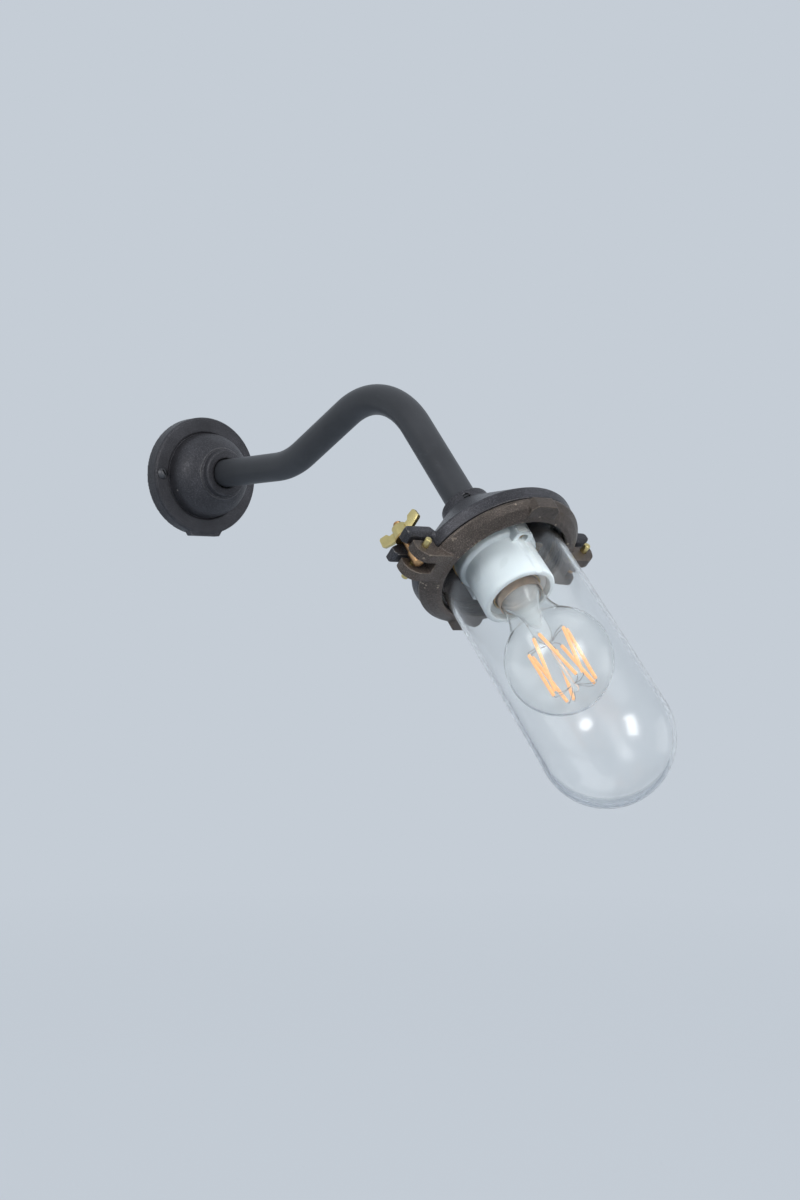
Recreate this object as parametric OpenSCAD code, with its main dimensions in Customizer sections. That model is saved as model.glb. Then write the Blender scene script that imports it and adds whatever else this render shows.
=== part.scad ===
// Bracket light: a cast wall plate, a swan-neck tube and a well-glass lamp head.
// Origin: centre of the wall plate's back face. The wall is the plane y = 0,
// the light stands out towards -Y, +Z is up and +X is to the right, facing the wall.

/* [Wall plate] */
// Diameter of the round wall plate
plate_d = 82; // [80:1:92]
// Thickness of the plate's rim
plate_t = 11.4; // [11:0.1:14]
// Radius of the dome on the plate
dome_r = 29.2; // [28.8:0.1:30]
// Height of the dome above its widest circle, were it closed
dome_rise = 20.5; // [19:0.1:22]
// Radius of the raised lip round the dome's nose
lip_r = 18.2; // [17:0.1:19.5]
// Radius of the nose that holds the tube
nose_r = 15.8; // [14.5:0.1:16.3]
// Length of the nose beyond the dome
nose_len = 6.2; // [5:0.1:10]
// Radius of the hollow behind the plate's rim
hollow_r = 26; // [25:0.5:27]
// Distance between the two wall screws
screw_span = 70; // [68:0.5:72]
// Thread diameter of the wall screws
wall_screw_d = 4; // [3.5:0.5:4.5]
// Length of the wall screws that stands out behind the plate
wall_screw_out = 6.5; // [5:0.5:35]
// Half width of the flat tab under the plate
tab_half = 11.3; // [10:0.1:16]
// Distance from the plate's centre to the foot of the tab
tab_drop = 42.2; // [42:0.1:50]

/* [Swan neck] */
// Outside diameter of the tube
neck_d = 19; // [17:0.5:20]
// Wall thickness of the tube
neck_wall = 2; // [1.2:0.1:2.5]
// Level run from the wall to the first bend
run1 = 100.5; // [80:0.5:140]
// Radius of the first bend
bend1_r = 74; // [50:1:110]
// Angle of the rising run above the level
rise = 24.7; // [15:0.1:35]
// Length of the rising run
run2 = 52.6; // [30:0.1:90]
// Radius of the second bend
bend2_r = 60.4; // [45:0.1:80]
// Angle of the lamp axis below the level
fall = 47.9; // [40:0.1:60]
// Straight run from the second bend to the cap's collar
run3 = 67.4; // [50:0.1:110]

/* [Cap] */
// Height of the cap casting, from its collar to its parting face
cap_h = 43.9; // [42:0.1:50]
// Radius of the cap's flange at its top edge
flange_r = 50.5; // [49.5:0.1:53]
// Depth of the flange's outer wall
flange_t = 7.1; // [6.8:0.1:9]
// Radius of the collar round the tube
collar_r = 14.8; // [14:0.1:17]
// Height of the collar
collar_h = 6.4; // [6:0.1:8]
// Wall thickness of the cap
cap_wall = 4; // [3:0.5:4.5]

/* [Clamp] */
// Distance from the lamp axis to the swing bolts
bolt_x = 59; // [57.5:0.5:61]
// Thread diameter of the swing bolts
bolt_d = 5; // [4.5:0.5:6]
// Width of the slot in the cap's forks
cap_slot = 8; // [7.5:0.1:9]
// Width of each prong of the cap's forks
cap_prong = 8; // [6:0.1:9]
// Thickness of the cap's prongs along the lamp axis
cap_prong_t = 8.4; // [7:0.1:9]
// Width of the slot in the ring's forks
ring_slot = 7.8; // [7.5:0.1:9]
// Width of each prong of the ring's forks
ring_prong = 6.3; // [5:0.1:7]
// Radius of the hinge pins of the swing bolts
pin_r = 2; // [1.5:0.1:2.3]
// Length that a hinge pin stands out of its fork
pin_out = 5; // [2:0.1:5]
// Height of the clamp ring
ring_h = 8.2; // [7.7:0.1:10]
// Radius of the opening in the clamp ring
ring_bore_r = 39.2; // [38.5:0.1:40]
// Gap between the cap and the clamp ring
parting_gap = 1; // [0.6:0.1:1.4]
// Half width of the guard blocks on the ring
block_half = 8.9; // [7:0.1:11]
// Tip to tip width of the wing nuts
wing_span = 28; // [24:1:30]
// Angle that the wing nuts stand turned when tight
wing_turn = 20; // [0:5:40]

/* [Well glass] */
// Outside radius of the well glass
glass_r = 37.3; // [36.8:0.1:38]
// Wall thickness of the well glass
glass_wall = 2.4; // [1.8:0.1:3]
// Length from the parting face to the centre of the round end
glass_len = 131.4; // [120:0.5:160]
// Radius of the glass's flange
glass_flange_r = 43.4; // [42.5:0.1:43.6]
// Thickness of the glass's flange
glass_flange_t = 5; // [4:0.1:5.4]
// Thickness of the gasket above the glass
cap_gasket_t = 2.1; // [1.5:0.1:2.5]
// Thickness of the gasket below the glass
ring_gasket_t = 1.5; // [1:0.1:1.9]

/* [Lampholder] */
// Radius of the lampholder at its rim
holder_r = 21.9; // [21:0.1:22.5]
// Radius of the lampholder's mouth
mouth_r = 18.4; // [17.5:0.1:19]
// Distance from the parting face to the lampholder's rim
holder_rim = 29.8; // [28:0.1:34]
// Radius of the lampholder's base
holder_base_r = 24; // [23.5:0.1:25]
// Height of the base part of the lampholder
holder_base_h = 8.5; // [7:0.1:10]
// Depth that the back of the lampholder reaches into the cap
holder_back_h = 11; // [9:0.1:12]
// Radius of the back of the lampholder
holder_back_r = 19.5; // [18:0.1:20]
// Distance from the parting face to the lampholder's bracket
bracket_depth = 6; // [5:0.1:7]
// Thickness of the lampholder's bracket
bracket_t = 1.5; // [1.2:0.1:2]

/* [Bulb] */
// Radius of the bulb at its widest
bulb_r = 30.3; // [28:0.1:31.5]
// Distance from the lampholder's rim to the centre of the bulb
bulb_reach = 47.2; // [44:0.1:52]
// Radius of the bulb's neck
bulb_neck_r = 12.6; // [12:0.1:12.7]
// Wall thickness of the bulb's glass
bulb_wall = 0.9; // [0.7:0.1:1.2]
// Crest radius of the bulb's screw cap
cap_thread_r = 13.1; // [12.9:0.05:13.15]
// Pitch of the screw cap's thread
thread_pitch = 3.629; // [3.5:0.001:3.7]
// Number of glowing filaments
filament_count = 8; // [4:1:10]
// Length of a filament
filament_len = 34; // [28:1:36]

/* [Hidden] */
$fn = 64;
eps = 0.01;
fit_gap = 0.05;
curve_gap = 0.3;
screw_gap = 0.25;
bend_step = 0.03;
lap = 0.5;
cast_wall = 3.5;
tab_back_h = 4.5;
plate_r = plate_d / 2;
neck_r = neck_d / 2;
neck_bore_r = neck_r - neck_wall;

// The dome is half of a flattened ball that is widest a little in front of the plate's face.
dome_h0 = plate_t + 4;
dome_lip_h = dome_h0 + dome_rise * sqrt(1 - pow((lip_r - 0.3) / dome_r, 2));
nose_h = dome_lip_h + nose_len;
boss_back_h = 22;
pillar_top_h = dome_h0 + 12.4;
neck_end_h = boss_back_h - 9;
locknut_t = 5;
locknut_r = neck_r + 4.6;
locknut_thread_r = neck_r + fit_gap;

// Ends of the bends, measured out from the wall and up.
bend1_out = run1 + bend1_r * sin(rise);
bend1_up = bend1_r * (1 - cos(rise));
rise_out = bend1_out + run2 * cos(rise);
rise_up = bend1_up + run2 * sin(rise);
arch_out = rise_out + bend2_r * sin(rise);
arch_up = rise_up - bend2_r * cos(rise);
fall_out = arch_out + bend2_r * sin(fall);
fall_up = arch_up + bend2_r * cos(fall);

// Heights in the lamp head are measured along the lamp axis from the parting face
// of the cap, positive towards the glass.
collar_top = -cap_h;
collar_foot = collar_top + collar_h;
flange_top = -flange_t;
flange_low_r = flange_r - 0.9;
boss_floor = collar_top + 15;
neck_tip = boss_floor + 6.5;
seat_r = glass_flange_r + 0.9;
cap_mouth_r = ring_bore_r + 1.6;
gasket_top = 0.2 - cap_gasket_t;
glass_top = gasket_top + cap_gasket_t;
glass_foot = glass_top + glass_flange_t;
ring_seat = glass_foot + ring_gasket_t;
ring_top = parting_gap;
ring_foot = ring_top + ring_h;
ring_r = flange_low_r + 0.6;
lug_end = bolt_x + 8.4;
seat_h = -13.9;
pin_h = parting_gap;
seat_arc_r = pin_h - seat_h;
washer_t = 1.2;
washer_r = 5.8;
boss_r = bolt_d / 2 + 0.8;
paddle_t = 2.4;
washer_top = seat_h - 0.1 - washer_t;
nut_h = 7.6;
bolt_tip = washer_top - nut_h - 3.2;
bracket_z = -bracket_depth - bracket_t;
pillar_x = 29.5;
ear_r = 23.4;
ear_half = 6;
holder_base_foot = -bracket_depth + holder_base_h;
shell_top = holder_base_foot + 3.6;
shell_foot = holder_rim - 4.4;
shell_r = cap_thread_r + 1.55;
bulb_centre = holder_rim + bulb_reach;
bulb_cap_foot = holder_rim + 1.4;
bulb_cap_top = bulb_cap_foot - 23.5;
bulb_tip = bulb_cap_top - 4.2;
contact_top = holder_base_foot - 1.6;
neck_start = holder_rim + 4.7;
neck_dz = bulb_centre - neck_start;
neck_arc_r = (neck_dz * neck_dz + bulb_neck_r * bulb_neck_r - bulb_r * bulb_r)
    / (2 * (bulb_r - bulb_neck_r));
stem_r = 4;
filament_mid = bulb_centre - 1;
filament_top_r = 8;
filament_foot_r = 13;
filament_r = 1.1;
filament_twist = 28;
wire_r = 0.35;
wire_foot_r = 2.05;
wire_top_r = 1.92;
lead_r = 1.1;
lead_side = 3.2;
lead_low = -2.2;
block_z = -16.6;
block_front = 11;
earth_y = 17.5;
earth_front = 10;
terminal_back = -bracket_depth - holder_back_h;
holder_pin_x = 10;
lead_end_z = terminal_back - 2.55;

// Frame of the wall plate: local z points out of the wall.
module on_wall() {
    rotate([90, 0, 0]) children();
}

// Frame of the lamp head: local z runs down the lamp axis from the parting face.
module on_head() {
    translate([0, -fall_out, fall_up]) rotate([90 + fall, 0, 0])
        translate([0, 0, run3 + cap_h]) children();
}

// A straight round rod between two points.
module rod(a, b, r) {
    d = b - a;
    len = norm(d);
    translate(a) rotate([0, acos(d[2] / len), atan2(d[1], d[0])]) cylinder(r = r, h = len);
}

// Rods through a list of points, with round joints.
module rod_path(pts, r) {
    for (i = [0 : len(pts) - 2]) rod(pts[i], pts[i + 1], r);
    for (i = [1 : len(pts) - 1]) translate(pts[i]) sphere(r = r + 2 * bend_step);
}

// The swan neck's path as a round bar of radius r, moved sideways by side and upwards
// by up, from start (measured out from the wall) to stop (along the last straight).
// The straights reach a little way into the bends, which are a shade thinner.
module neck_bar(r, start, stop, side = 0, up = 0) {
    bend_r = r - bend_step;
    translate([side, 0, 0]) {
        translate([0, -start, up]) rotate([90, 0, 0]) cylinder(r = r, h = run1 - start + lap);
        translate([0, -run1, bend1_r]) rotate([0, 90, 0]) rotate([180, 0, 0])
            rotate_extrude(angle = rise) translate([bend1_r - up, 0]) circle(r = bend_r);
        translate([0, -bend1_out, bend1_up]) rotate([90 - rise, 0, 0])
            translate([0, up, -lap]) cylinder(r = r, h = run2 + 2 * lap);
        translate([0, -arch_out, arch_up]) rotate([0, -90, 0]) rotate([180, 0, 0])
            rotate([0, 0, -rise]) rotate_extrude(angle = rise + fall)
                translate([bend2_r + up, 0]) circle(r = bend_r);
        translate([0, -fall_out, fall_up]) rotate([90 + fall, 0, 0])
            translate([0, up, -lap]) cylinder(r = r, h = stop + lap);
    }
}

// A slotted round head with its shank: the head stands on z = 0 towards +z.
module slotted_screw(head_r, head_h, shank_r, shank_len, slot_turn = 0) {
    ball_r = (head_r * head_r + head_h * head_h) / (2 * head_h);
    difference() {
        union() {
            intersection() {
                translate([0, 0, head_h - ball_r]) sphere(r = ball_r);
                cylinder(r = head_r, h = head_h);
            }
            translate([0, 0, -shank_len]) cylinder(r = shank_r, h = shank_len + 0.2);
        }
        rotate([0, 0, slot_turn]) translate([-head_r, -0.45, head_h * 0.45])
            cube([2 * head_r, 0.9, head_h]);
    }
}

// A hexagon nut with a plain bore, standing on z = 0.
module hex_nut(across_r, bore_r, h) {
    difference() {
        cylinder(r = across_r, h = h, $fn = 6);
        translate([0, 0, -1]) cylinder(r = bore_r, h = h + 2);
    }
}

// The round ridges of a screw thread as points down a profile, from z0 to z1.
function ridges(r, depth, z0, z1) =
    let (n = 10 * floor(abs(z1 - z0) / thread_pitch))
    [for (i = [0 : n]) [r - depth * (1 - cos(36 * i)) / 2, z0 + (z1 - z0) * i / n]];

// Points of an arc about [cx, cy], from angle a0 to a1.
function arc(cx, cy, r, a0, a1, n = 12) =
    [for (i = [0 : n]) [cx + r * cos(a0 + (a1 - a0) * i / n),
                        cy + r * sin(a0 + (a1 - a0) * i / n)]];

// Points up the dome's curve from its widest circle, moved in by o from the outer skin.
function dome_curve(o, a1) =
    [for (i = [0 : 12]) [(dome_r - o) * cos(a1 * i / 12), dome_h0 + (dome_rise - o) * sin(a1 * i / 12)]];

module wall_plate_outline() {
    polygon(concat(
        [[0, 0], [plate_r, 0], [plate_r, plate_t - 1.4], [plate_r - 0.9, plate_t],
         [dome_r + 1.4, plate_t], [dome_r + 1, plate_t - 1.4], [dome_r, plate_t - 1.4]],
        dome_curve(0, acos((lip_r - 0.3) / dome_r)),
        [[lip_r, dome_lip_h + 0.3], [lip_r - 0.3, dome_lip_h + 1.1],
         [lip_r - 1.5, dome_lip_h + 1.1], [nose_r, dome_lip_h + 0.2],
         [nose_r, nose_h - 0.6], [nose_r - 0.6, nose_h], [0, nose_h]]));
}

module wall_plate() {
    color("dimgray") on_wall() difference() {
        union() {
            difference() {
                union() {
                    rotate_extrude() wall_plate_outline();
                    translate([0, 0, tab_back_h]) linear_extrude(plate_t - 0.5 - tab_back_h)
                        polygon([
                            [tab_half + 2.6, 3 - plate_r], [tab_half + 1, 1.6 - tab_drop],
                            [tab_half, -tab_drop], [-tab_half, -tab_drop],
                            [-tab_half - 1, 1.6 - tab_drop], [-tab_half - 2.6, 3 - plate_r]]);
                }
                rotate_extrude() polygon(concat(
                    [[0, -1], [hollow_r, -1], [hollow_r, plate_t - cast_wall],
                     [dome_r - cast_wall, plate_t - 2]],
                    dome_curve(cast_wall, 90)));
            }
            // Boss that backs the nose, and pillars for the terminal block and earth screw
            translate([0, 0, boss_back_h]) cylinder(r = nose_r - 0.6, h = nose_h - boss_back_h - 2);
            translate([0, block_z, block_front]) cylinder(r = 3.4, h = pillar_top_h - block_front);
            translate([0, earth_y, earth_front]) cylinder(r = 3.4, h = pillar_top_h - earth_front);
        }
        translate([0, 0, boss_back_h - 1]) cylinder(r = neck_r + fit_gap, h = 60);
        translate([0, 0, nose_h - 3]) cylinder(r = neck_r + 0.9, h = 4);
        for (s = [-1, 1]) translate([s * screw_span / 2, 0, -1])
            cylinder(r = wall_screw_d / 2 + screw_gap, h = plate_t + 2);
        translate([0, block_z, block_front - 1]) cylinder(r = 1.5 + fit_gap, h = 8);
        translate([0, earth_y, earth_front - 1]) cylinder(r = 2 + fit_gap, h = 7);
        translate([0, 0, nose_h - 4.2]) rotate([0, 90, 0]) cylinder(r = 2 + fit_gap, h = 30);
    }
}

module wall_screws() {
    color("gray") on_wall() for (s = [-1, 1])
        translate([s * screw_span / 2, 0, plate_t])
            union() {
                slotted_screw(4, 2.4, wall_screw_d / 2 - 0.1, plate_t + 1, -58);
                translate([0, 0, -plate_t - wall_screw_out])
                    cylinder(r = wall_screw_d / 2, h = wall_screw_out - screw_gap);
            }
}

module neck_set_screw() {
    color("gray") on_wall() translate([0, 0, nose_h - 4.2]) rotate([0, 90, 0])
        difference() {
            translate([0, 0, neck_r + 0.02]) cylinder(r = 2, h = nose_r - neck_r - 0.6);
            translate([-3, -0.4, nose_r - 1.6]) cube([6, 0.8, 4]);
        }
}

module swan_neck() {
    color("dimgray") difference() {
        neck_bar(neck_r, neck_end_h, run3 + cap_h + neck_tip);
        neck_bar(neck_bore_r, neck_end_h - 1, run3 + cap_h + neck_tip + 1);
    }
}

module neck_locknut() {
    color("silver") on_wall() translate([0, 0, boss_back_h - locknut_t])
        hex_nut(locknut_r, locknut_thread_r, locknut_t);
}

module terminal_block() {
    color("ivory") on_wall() difference() {
        translate([-12, block_z - 4.5, 2]) cube([24, 9, block_front - 2]);
        for (s = [-1, 0, 1]) translate([s * 7.6, block_z - 6, 7]) rotate([-90, 0, 0])
            cylinder(r = 2.2, h = 12);
        for (s = [-1, 1]) translate([s * 7.6, block_z, 1]) cylinder(r = 1.7, h = 6);
        translate([0, block_z, 1]) cylinder(r = 1.5 + fit_gap, h = 12);
        translate([0, block_z, 1]) cylinder(r = 3.1, h = 3);
    }
}

module terminal_block_screw() {
    color("silver") on_wall() translate([0, block_z, 4]) rotate([180, 0, 0])
        slotted_screw(2.8, 1.6, 1.5, 12.5);
}

module terminal_sleeves() {
    color("gold") on_wall() for (s = [-1, 1]) translate([s * 7.6, block_z - 4, 7])
        rotate([-90, 0, 0]) difference() {
            cylinder(r = 2.15, h = 8);
            translate([0, 0, -1]) cylinder(r = 1.25, h = 10);
        }
}

module terminal_screws() {
    color("silver") on_wall() for (s = [-1, 1]) translate([s * 7.6, block_z, 2.6])
        difference() {
            cylinder(r = 1.6, h = 2.2);
            translate([-2, -0.3, -1]) cube([4, 0.6, 1.7]);
        }
}

module earth_screw() {
    color("gold") on_wall() translate([0, earth_y, earth_front - 2 * lead_r - 0.2])
        rotate([180, 0, 0]) slotted_screw(3.6, 2, 2, 8);
}

// A lead from its terminal behind the plate, through the neck, to the lampholder.
module lead(side, up, wall_pts, head_pts) {
    neck_bar(lead_r, neck_end_h - 2, run3 + cap_h + neck_tip + 1, side, up);
    on_wall() rod_path(concat(wall_pts, [[side, up, neck_end_h - 2]]), lead_r);
    on_head() rod_path(concat([[side, up, neck_tip + 1]], head_pts), lead_r);
    on_head() translate([side, up, neck_tip + 1]) sphere(r = lead_r + 2 * bend_step);
}

module live_lead() {
    color("saddlebrown") lead(lead_side, lead_low,
        [[7.6, block_z + 3.2, 7], [7.6, -9.5, 7], [lead_side + 1, -4.5, 8.5]],
        [[6, -4, neck_tip + 2.2], [holder_pin_x, 0, lead_end_z]]);
}

module neutral_lead() {
    color("steelblue") lead(-lead_side, lead_low,
        [[-7.6, block_z + 3.2, 7], [-7.6, -9.5, 7], [-lead_side - 1, -4.5, 8.5]],
        [[-6, -4, neck_tip + 2.2], [-holder_pin_x, 0, lead_end_z]]);
}

module earth_lead() {
    color("yellowgreen") lead(0, 3.2,
        [[0, earth_y - 2.2, earth_front - lead_r], [0, 11, 9]],
        [[0, 9, neck_tip + 2.2], [15.6, 15.6, terminal_back - 2],
         [15.6, 15.6, bracket_z - lead_r - 0.1]]);
}

// Outline of the collar, down to where the cone starts.
function collar_skin() = concat(
    [[collar_r - 1.4, collar_top]], arc(collar_r - 1.2, collar_top + 1.2, 1.2, -75, 0, 4),
    [[collar_r, collar_foot - 0.8], [collar_r + 1, collar_foot + 0.6]]);

// A point on the cone between the collar and the flange, moved in by o.
function cone_point(t, o) = [collar_r + (flange_r - collar_r) * t - o,
                             collar_foot + (flange_top - collar_foot) * t + o];

module cap_outline() {
    polygon(concat([[0, collar_top]], collar_skin(),
        [[flange_r - 0.6, flange_top - 0.5], [flange_r, flange_top], [flange_r, flange_top + 1],
         [flange_low_r, 0], [0, 0]]));
}

module cap_hollow_outline() {
    polygon(concat([[0, boss_floor], [collar_r, boss_floor]],
        [cone_point(0.28, cap_wall), cone_point(0.85, cap_wall)],
        [[cap_mouth_r, flange_top + 1], [cap_mouth_r, 1], [0, 1]]));
}

// One fork of the cap: two chamfered bars with a slot between them for the bolt.
module cap_fork() {
    c = 2;
    w = cap_slot / 2 + cap_prong;
    foot = seat_h + cap_prong_t;
    difference() {
        intersection() {
            translate([0, w, 0]) rotate([90, 0, 0]) linear_extrude(2 * w) difference() {
                polygon([[40, foot], [40, flange_top + 1], [flange_r - 4, flange_top],
                    [flange_r + 0.2, seat_h], [lug_end, seat_h], [lug_end, foot - c],
                    [lug_end - c, foot]]);
                difference() {
                    translate([bolt_x, seat_h - 1]) square([20, 9]);
                    translate([bolt_x, pin_h]) circle(r = seat_arc_r);
                }
            }
            rotate([90, 0, 90]) linear_extrude(lug_end + 1) polygon([
                [-w, seat_h + c], [c - w, seat_h], [w - c, seat_h], [w, seat_h + c],
                [w, foot - c], [w - c, foot], [c - w, foot], [-w, foot - c]]);
        }
        translate([bolt_x - bolt_d / 2 - 3, -cap_slot / 2, seat_h - 1])
            cube([30, cap_slot, cap_prong_t + 2]);
    }
}

module cap_casting() {
    color("darkslategray") on_head() difference() {
        union() {
            difference() {
                union() {
                    rotate_extrude() cap_outline();
                    for (a = [0, 180]) rotate([0, 0, a]) cap_fork();
                }
                rotate_extrude() cap_hollow_outline();
            }
            for (s = [-1, 1]) intersection() {
                translate([s * pillar_x, 0, collar_foot]) cylinder(r = 4, h = bracket_z - collar_foot);
                rotate_extrude() cap_outline();
            }
        }
        translate([0, 0, collar_top - 1]) cylinder(r = neck_r + fit_gap, h = 30);
        translate([0, 0, gasket_top]) cylinder(r = seat_r, h = 10);
        for (s = [-1, 1]) translate([s * pillar_x, 0, bracket_z - 9])
            cylinder(r = 2 + fit_gap, h = 12);
        translate([0, 0, collar_top + 5]) rotate([-90, 0, 35]) cylinder(r = 2 + fit_gap, h = 30);
    }
}

module cap_set_screw() {
    color("gray") on_head() translate([0, 0, collar_top + 5]) rotate([-90, 0, 35])
        difference() {
            translate([0, 0, neck_r + 0.02]) cylinder(r = 2, h = collar_r - neck_r - 1);
            translate([-3, -0.4, collar_r - 2.2]) cube([6, 0.8, 4]);
        }
}

module cap_locknut() {
    color("silver") on_head() translate([0, 0, boss_floor])
        hex_nut(locknut_r, locknut_thread_r, locknut_t);
}

module cap_gasket() {
    color("black") on_head() translate([0, 0, gasket_top]) difference() {
        cylinder(r = glass_flange_r, h = cap_gasket_t);
        translate([0, 0, -1]) cylinder(r = cap_mouth_r + 0.2, h = cap_gasket_t + 2);
    }
}

module holder_bracket() {
    color("goldenrod") on_head() translate([0, 0, bracket_z]) difference() {
        linear_extrude(bracket_t) difference() {
            union() {
                circle(r = holder_base_r + 0.5);
                translate([-pillar_x - 5, -7]) square([2 * pillar_x + 10, 14]);
                translate([-ear_half, -ear_r - 4]) square([2 * ear_half, 2 * ear_r + 8]);
            }
            circle(r = holder_back_r + curve_gap);
        }
        for (s = [-1, 1]) {
            translate([s * pillar_x, 0, -1]) cylinder(r = 2.25, h = 4);
            translate([0, s * ear_r, -1]) cylinder(r = 1.5 + fit_gap, h = 4);
        }
    }
}

module bracket_screws() {
    color("gold") on_head() for (s = [-1, 1])
        translate([s * pillar_x, 0, -bracket_depth]) slotted_screw(3.8, 2.4, 2, 9.5, 25);
}

// Rounded outline of an ear of the lampholder, for one side.
module ear_outline() {
    hull() {
        translate([-ear_half, 0]) square([2 * ear_half, holder_base_r - 4]);
        translate([2 - ear_half, holder_base_r + 1]) circle(r = 2, $fn = 32);
        translate([ear_half - 2, holder_base_r + 1]) circle(r = 2, $fn = 32);
    }
}

module lampholder_body() {
    top = -bracket_depth - holder_back_h;
    color("white") on_head() difference() {
        union() {
            rotate_extrude() polygon(concat(
                [[0, top], [holder_back_r - 1, top], [holder_back_r, top + 1],
                 [holder_back_r, -bracket_depth], [holder_base_r, -bracket_depth],
                 [holder_base_r, holder_base_foot - 2]],
                arc(holder_base_r - 2, holder_base_foot - 2, 2, 0, 80, 5),
                [[holder_r - 0.5, holder_base_foot + 0.5]],
                arc(holder_r - 1.6, holder_rim - 1.6, 1.6, 0, 90, 6),
                [[0, holder_rim]]));
            for (a = [0, 180]) rotate([0, 0, a]) translate([0, 0, -bracket_depth])
                linear_extrude(holder_base_h + 4) ear_outline();
        }
        // Mouth, threaded well and the chamber behind the centre contact
        rotate_extrude() polygon(concat(
            [[0, holder_rim + 1], [mouth_r + 0.6, holder_rim + 1], [mouth_r, holder_rim - 0.8]],
            [[mouth_r - 0.6, shell_foot + 0.6], [shell_r + 0.6, shell_foot],
             [shell_r + 0.1, shell_foot - 0.5], [shell_r + 0.1, shell_top],
             [11, shell_top], [11, contact_top], [0, contact_top]]));
        for (s = [-1, 1]) {
            translate([0, s * ear_r, -bracket_depth - 1]) cylinder(r = 1.7, h = 40);
            translate([0, s * ear_r, holder_base_foot + 0.5]) cylinder(r = 3.2, h = 40);
            translate([s * holder_pin_x, 0, top - 1]) cylinder(r = 3, h = 7);
            translate([s * holder_pin_x, 0, top]) cylinder(r = 1.2, h = contact_top - top + 1);
        }
    }
}

module holder_screws() {
    color("gold") on_head() for (s = [-1, 1])
        translate([0, s * ear_r, holder_base_foot + 0.5]) slotted_screw(2.8, 1.8, 1.5, 11.5, 40);
}

module holder_shell() {
    color("goldenrod") on_head() rotate_extrude() polygon(concat(
        [[shell_r, shell_top], [shell_r, shell_foot - 0.6], [shell_r + 0.4, shell_foot],
         [shell_r, shell_foot + 0.2]],
        [for (p = ridges(shell_r - 0.4, 0.7, shell_foot - 0.5, shell_top + 0.6)) p],
        [[9, shell_top + 0.6], [9, shell_top]]));
}

module centre_contact() {
    color("gold") on_head() {
        translate([-3.5, -3, contact_top]) cube([holder_pin_x + 3.9, 6, 0.8]);
        translate([0, 0, contact_top + 0.8 - eps]) cylinder(r = 3, h = bulb_tip - contact_top - 0.8 + eps);
    }
}

// Two terminals in the back of the lampholder: a post, its foot and its screw.
module holder_terminals() {
    color("gold") on_head() for (s = [-1, 1]) translate([s * holder_pin_x, 0, terminal_back]) {
        translate([0, 0, -1.2]) cylinder(r = 2.6, h = 7.2);
        translate([0, 0, 5.9]) cylinder(r = 1.1, h = contact_top - terminal_back - 5.9);
    }
}

// Profile of a ring prong: a claw that curls round the hinge pin.
module ring_prong_outline() {
    polygon(concat(
        [[ring_bore_r + 3, ring_foot - 0.6], [ring_bore_r + 3, ring_top + 1],
         [flange_r + 0.7, ring_top + 0.6], [flange_r + 0.9, pin_h - 3.1],
         [lug_end - 2.2, pin_h - 4.3]],
        arc(bolt_x - 2.3, pin_h - 1.2, 9, -20, 84, 10)));
}

module ring_fork() {
    w = ring_slot / 2 + ring_prong;
    difference() {
        translate([0, w, 0]) rotate([90, 0, 0]) linear_extrude(2 * w) ring_prong_outline();
        translate([bolt_x - 7.8, -ring_slot / 2, -20]) cube([30, ring_slot, 50]);
        translate([bolt_x, 0, pin_h]) rotate([90, 0, 0])
            translate([0, 0, -30]) cylinder(r = pin_r + fit_gap, h = 60);
    }
}

module guard_block() {
    linear_extrude(ring_h - 0.4) polygon([
        [-block_half - 1.2, ring_bore_r + 3], [-block_half - 1.2, ring_r - 2.6],
        [2 - block_half, ring_r + 0.4], [block_half - 2, ring_r + 0.4],
        [block_half + 1.2, ring_r - 2.6], [block_half + 1.2, ring_bore_r + 3]]);
}

module clamp_ring() {
    color("sienna") on_head() difference() {
        union() {
            rotate_extrude() polygon([
                [ring_bore_r - 2, ring_top], [ring_r, ring_top], [ring_r - 0.2, ring_top + 1.6],
                [ring_r - 3.2, ring_top + ring_h * 0.6], [ring_bore_r + 3, ring_foot - 0.3],
                [ring_bore_r + 1, ring_foot], [ring_bore_r - 2, ring_foot]]);
            for (a = [0, 180]) rotate([0, 0, a]) {
                ring_fork();
                translate([0, 0, ring_top]) guard_block();
            }
        }
        translate([0, 0, -5]) cylinder(r = ring_bore_r, h = 40);
        translate([0, 0, -5]) cylinder(r = seat_r, h = ring_seat + 5);
    }
}

module ring_gasket() {
    color("black") on_head() translate([0, 0, glass_foot]) difference() {
        cylinder(r = glass_flange_r, h = ring_gasket_t);
        translate([0, 0, -1]) cylinder(r = ring_bore_r + 0.2, h = ring_gasket_t + 2);
    }
}

module well_glass() {
    r_in = glass_r - glass_wall;
    color("aliceblue", 0.4) on_head() rotate_extrude() polygon(concat(
        [[r_in, glass_top], [glass_flange_r - 0.8, glass_top],
         [glass_flange_r, glass_top + 0.8], [glass_flange_r, glass_foot - 0.8],
         [glass_flange_r - 0.8, glass_foot], [glass_r + 1, glass_foot],
         [glass_r, glass_foot + 1]],
        arc(0, glass_len, glass_r, 0, 90, 14),
        arc(0, glass_len, r_in, 90, 0, 14)));
}

module hinge_pins() {
    len = ring_slot + 2 * ring_prong + 2 * pin_out;
    color("gold") on_head() for (s = [-1, 1])
        translate([s * bolt_x, len / 2, pin_h]) rotate([90, 0, 0]) cylinder(r = pin_r, h = len);
}

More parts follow.
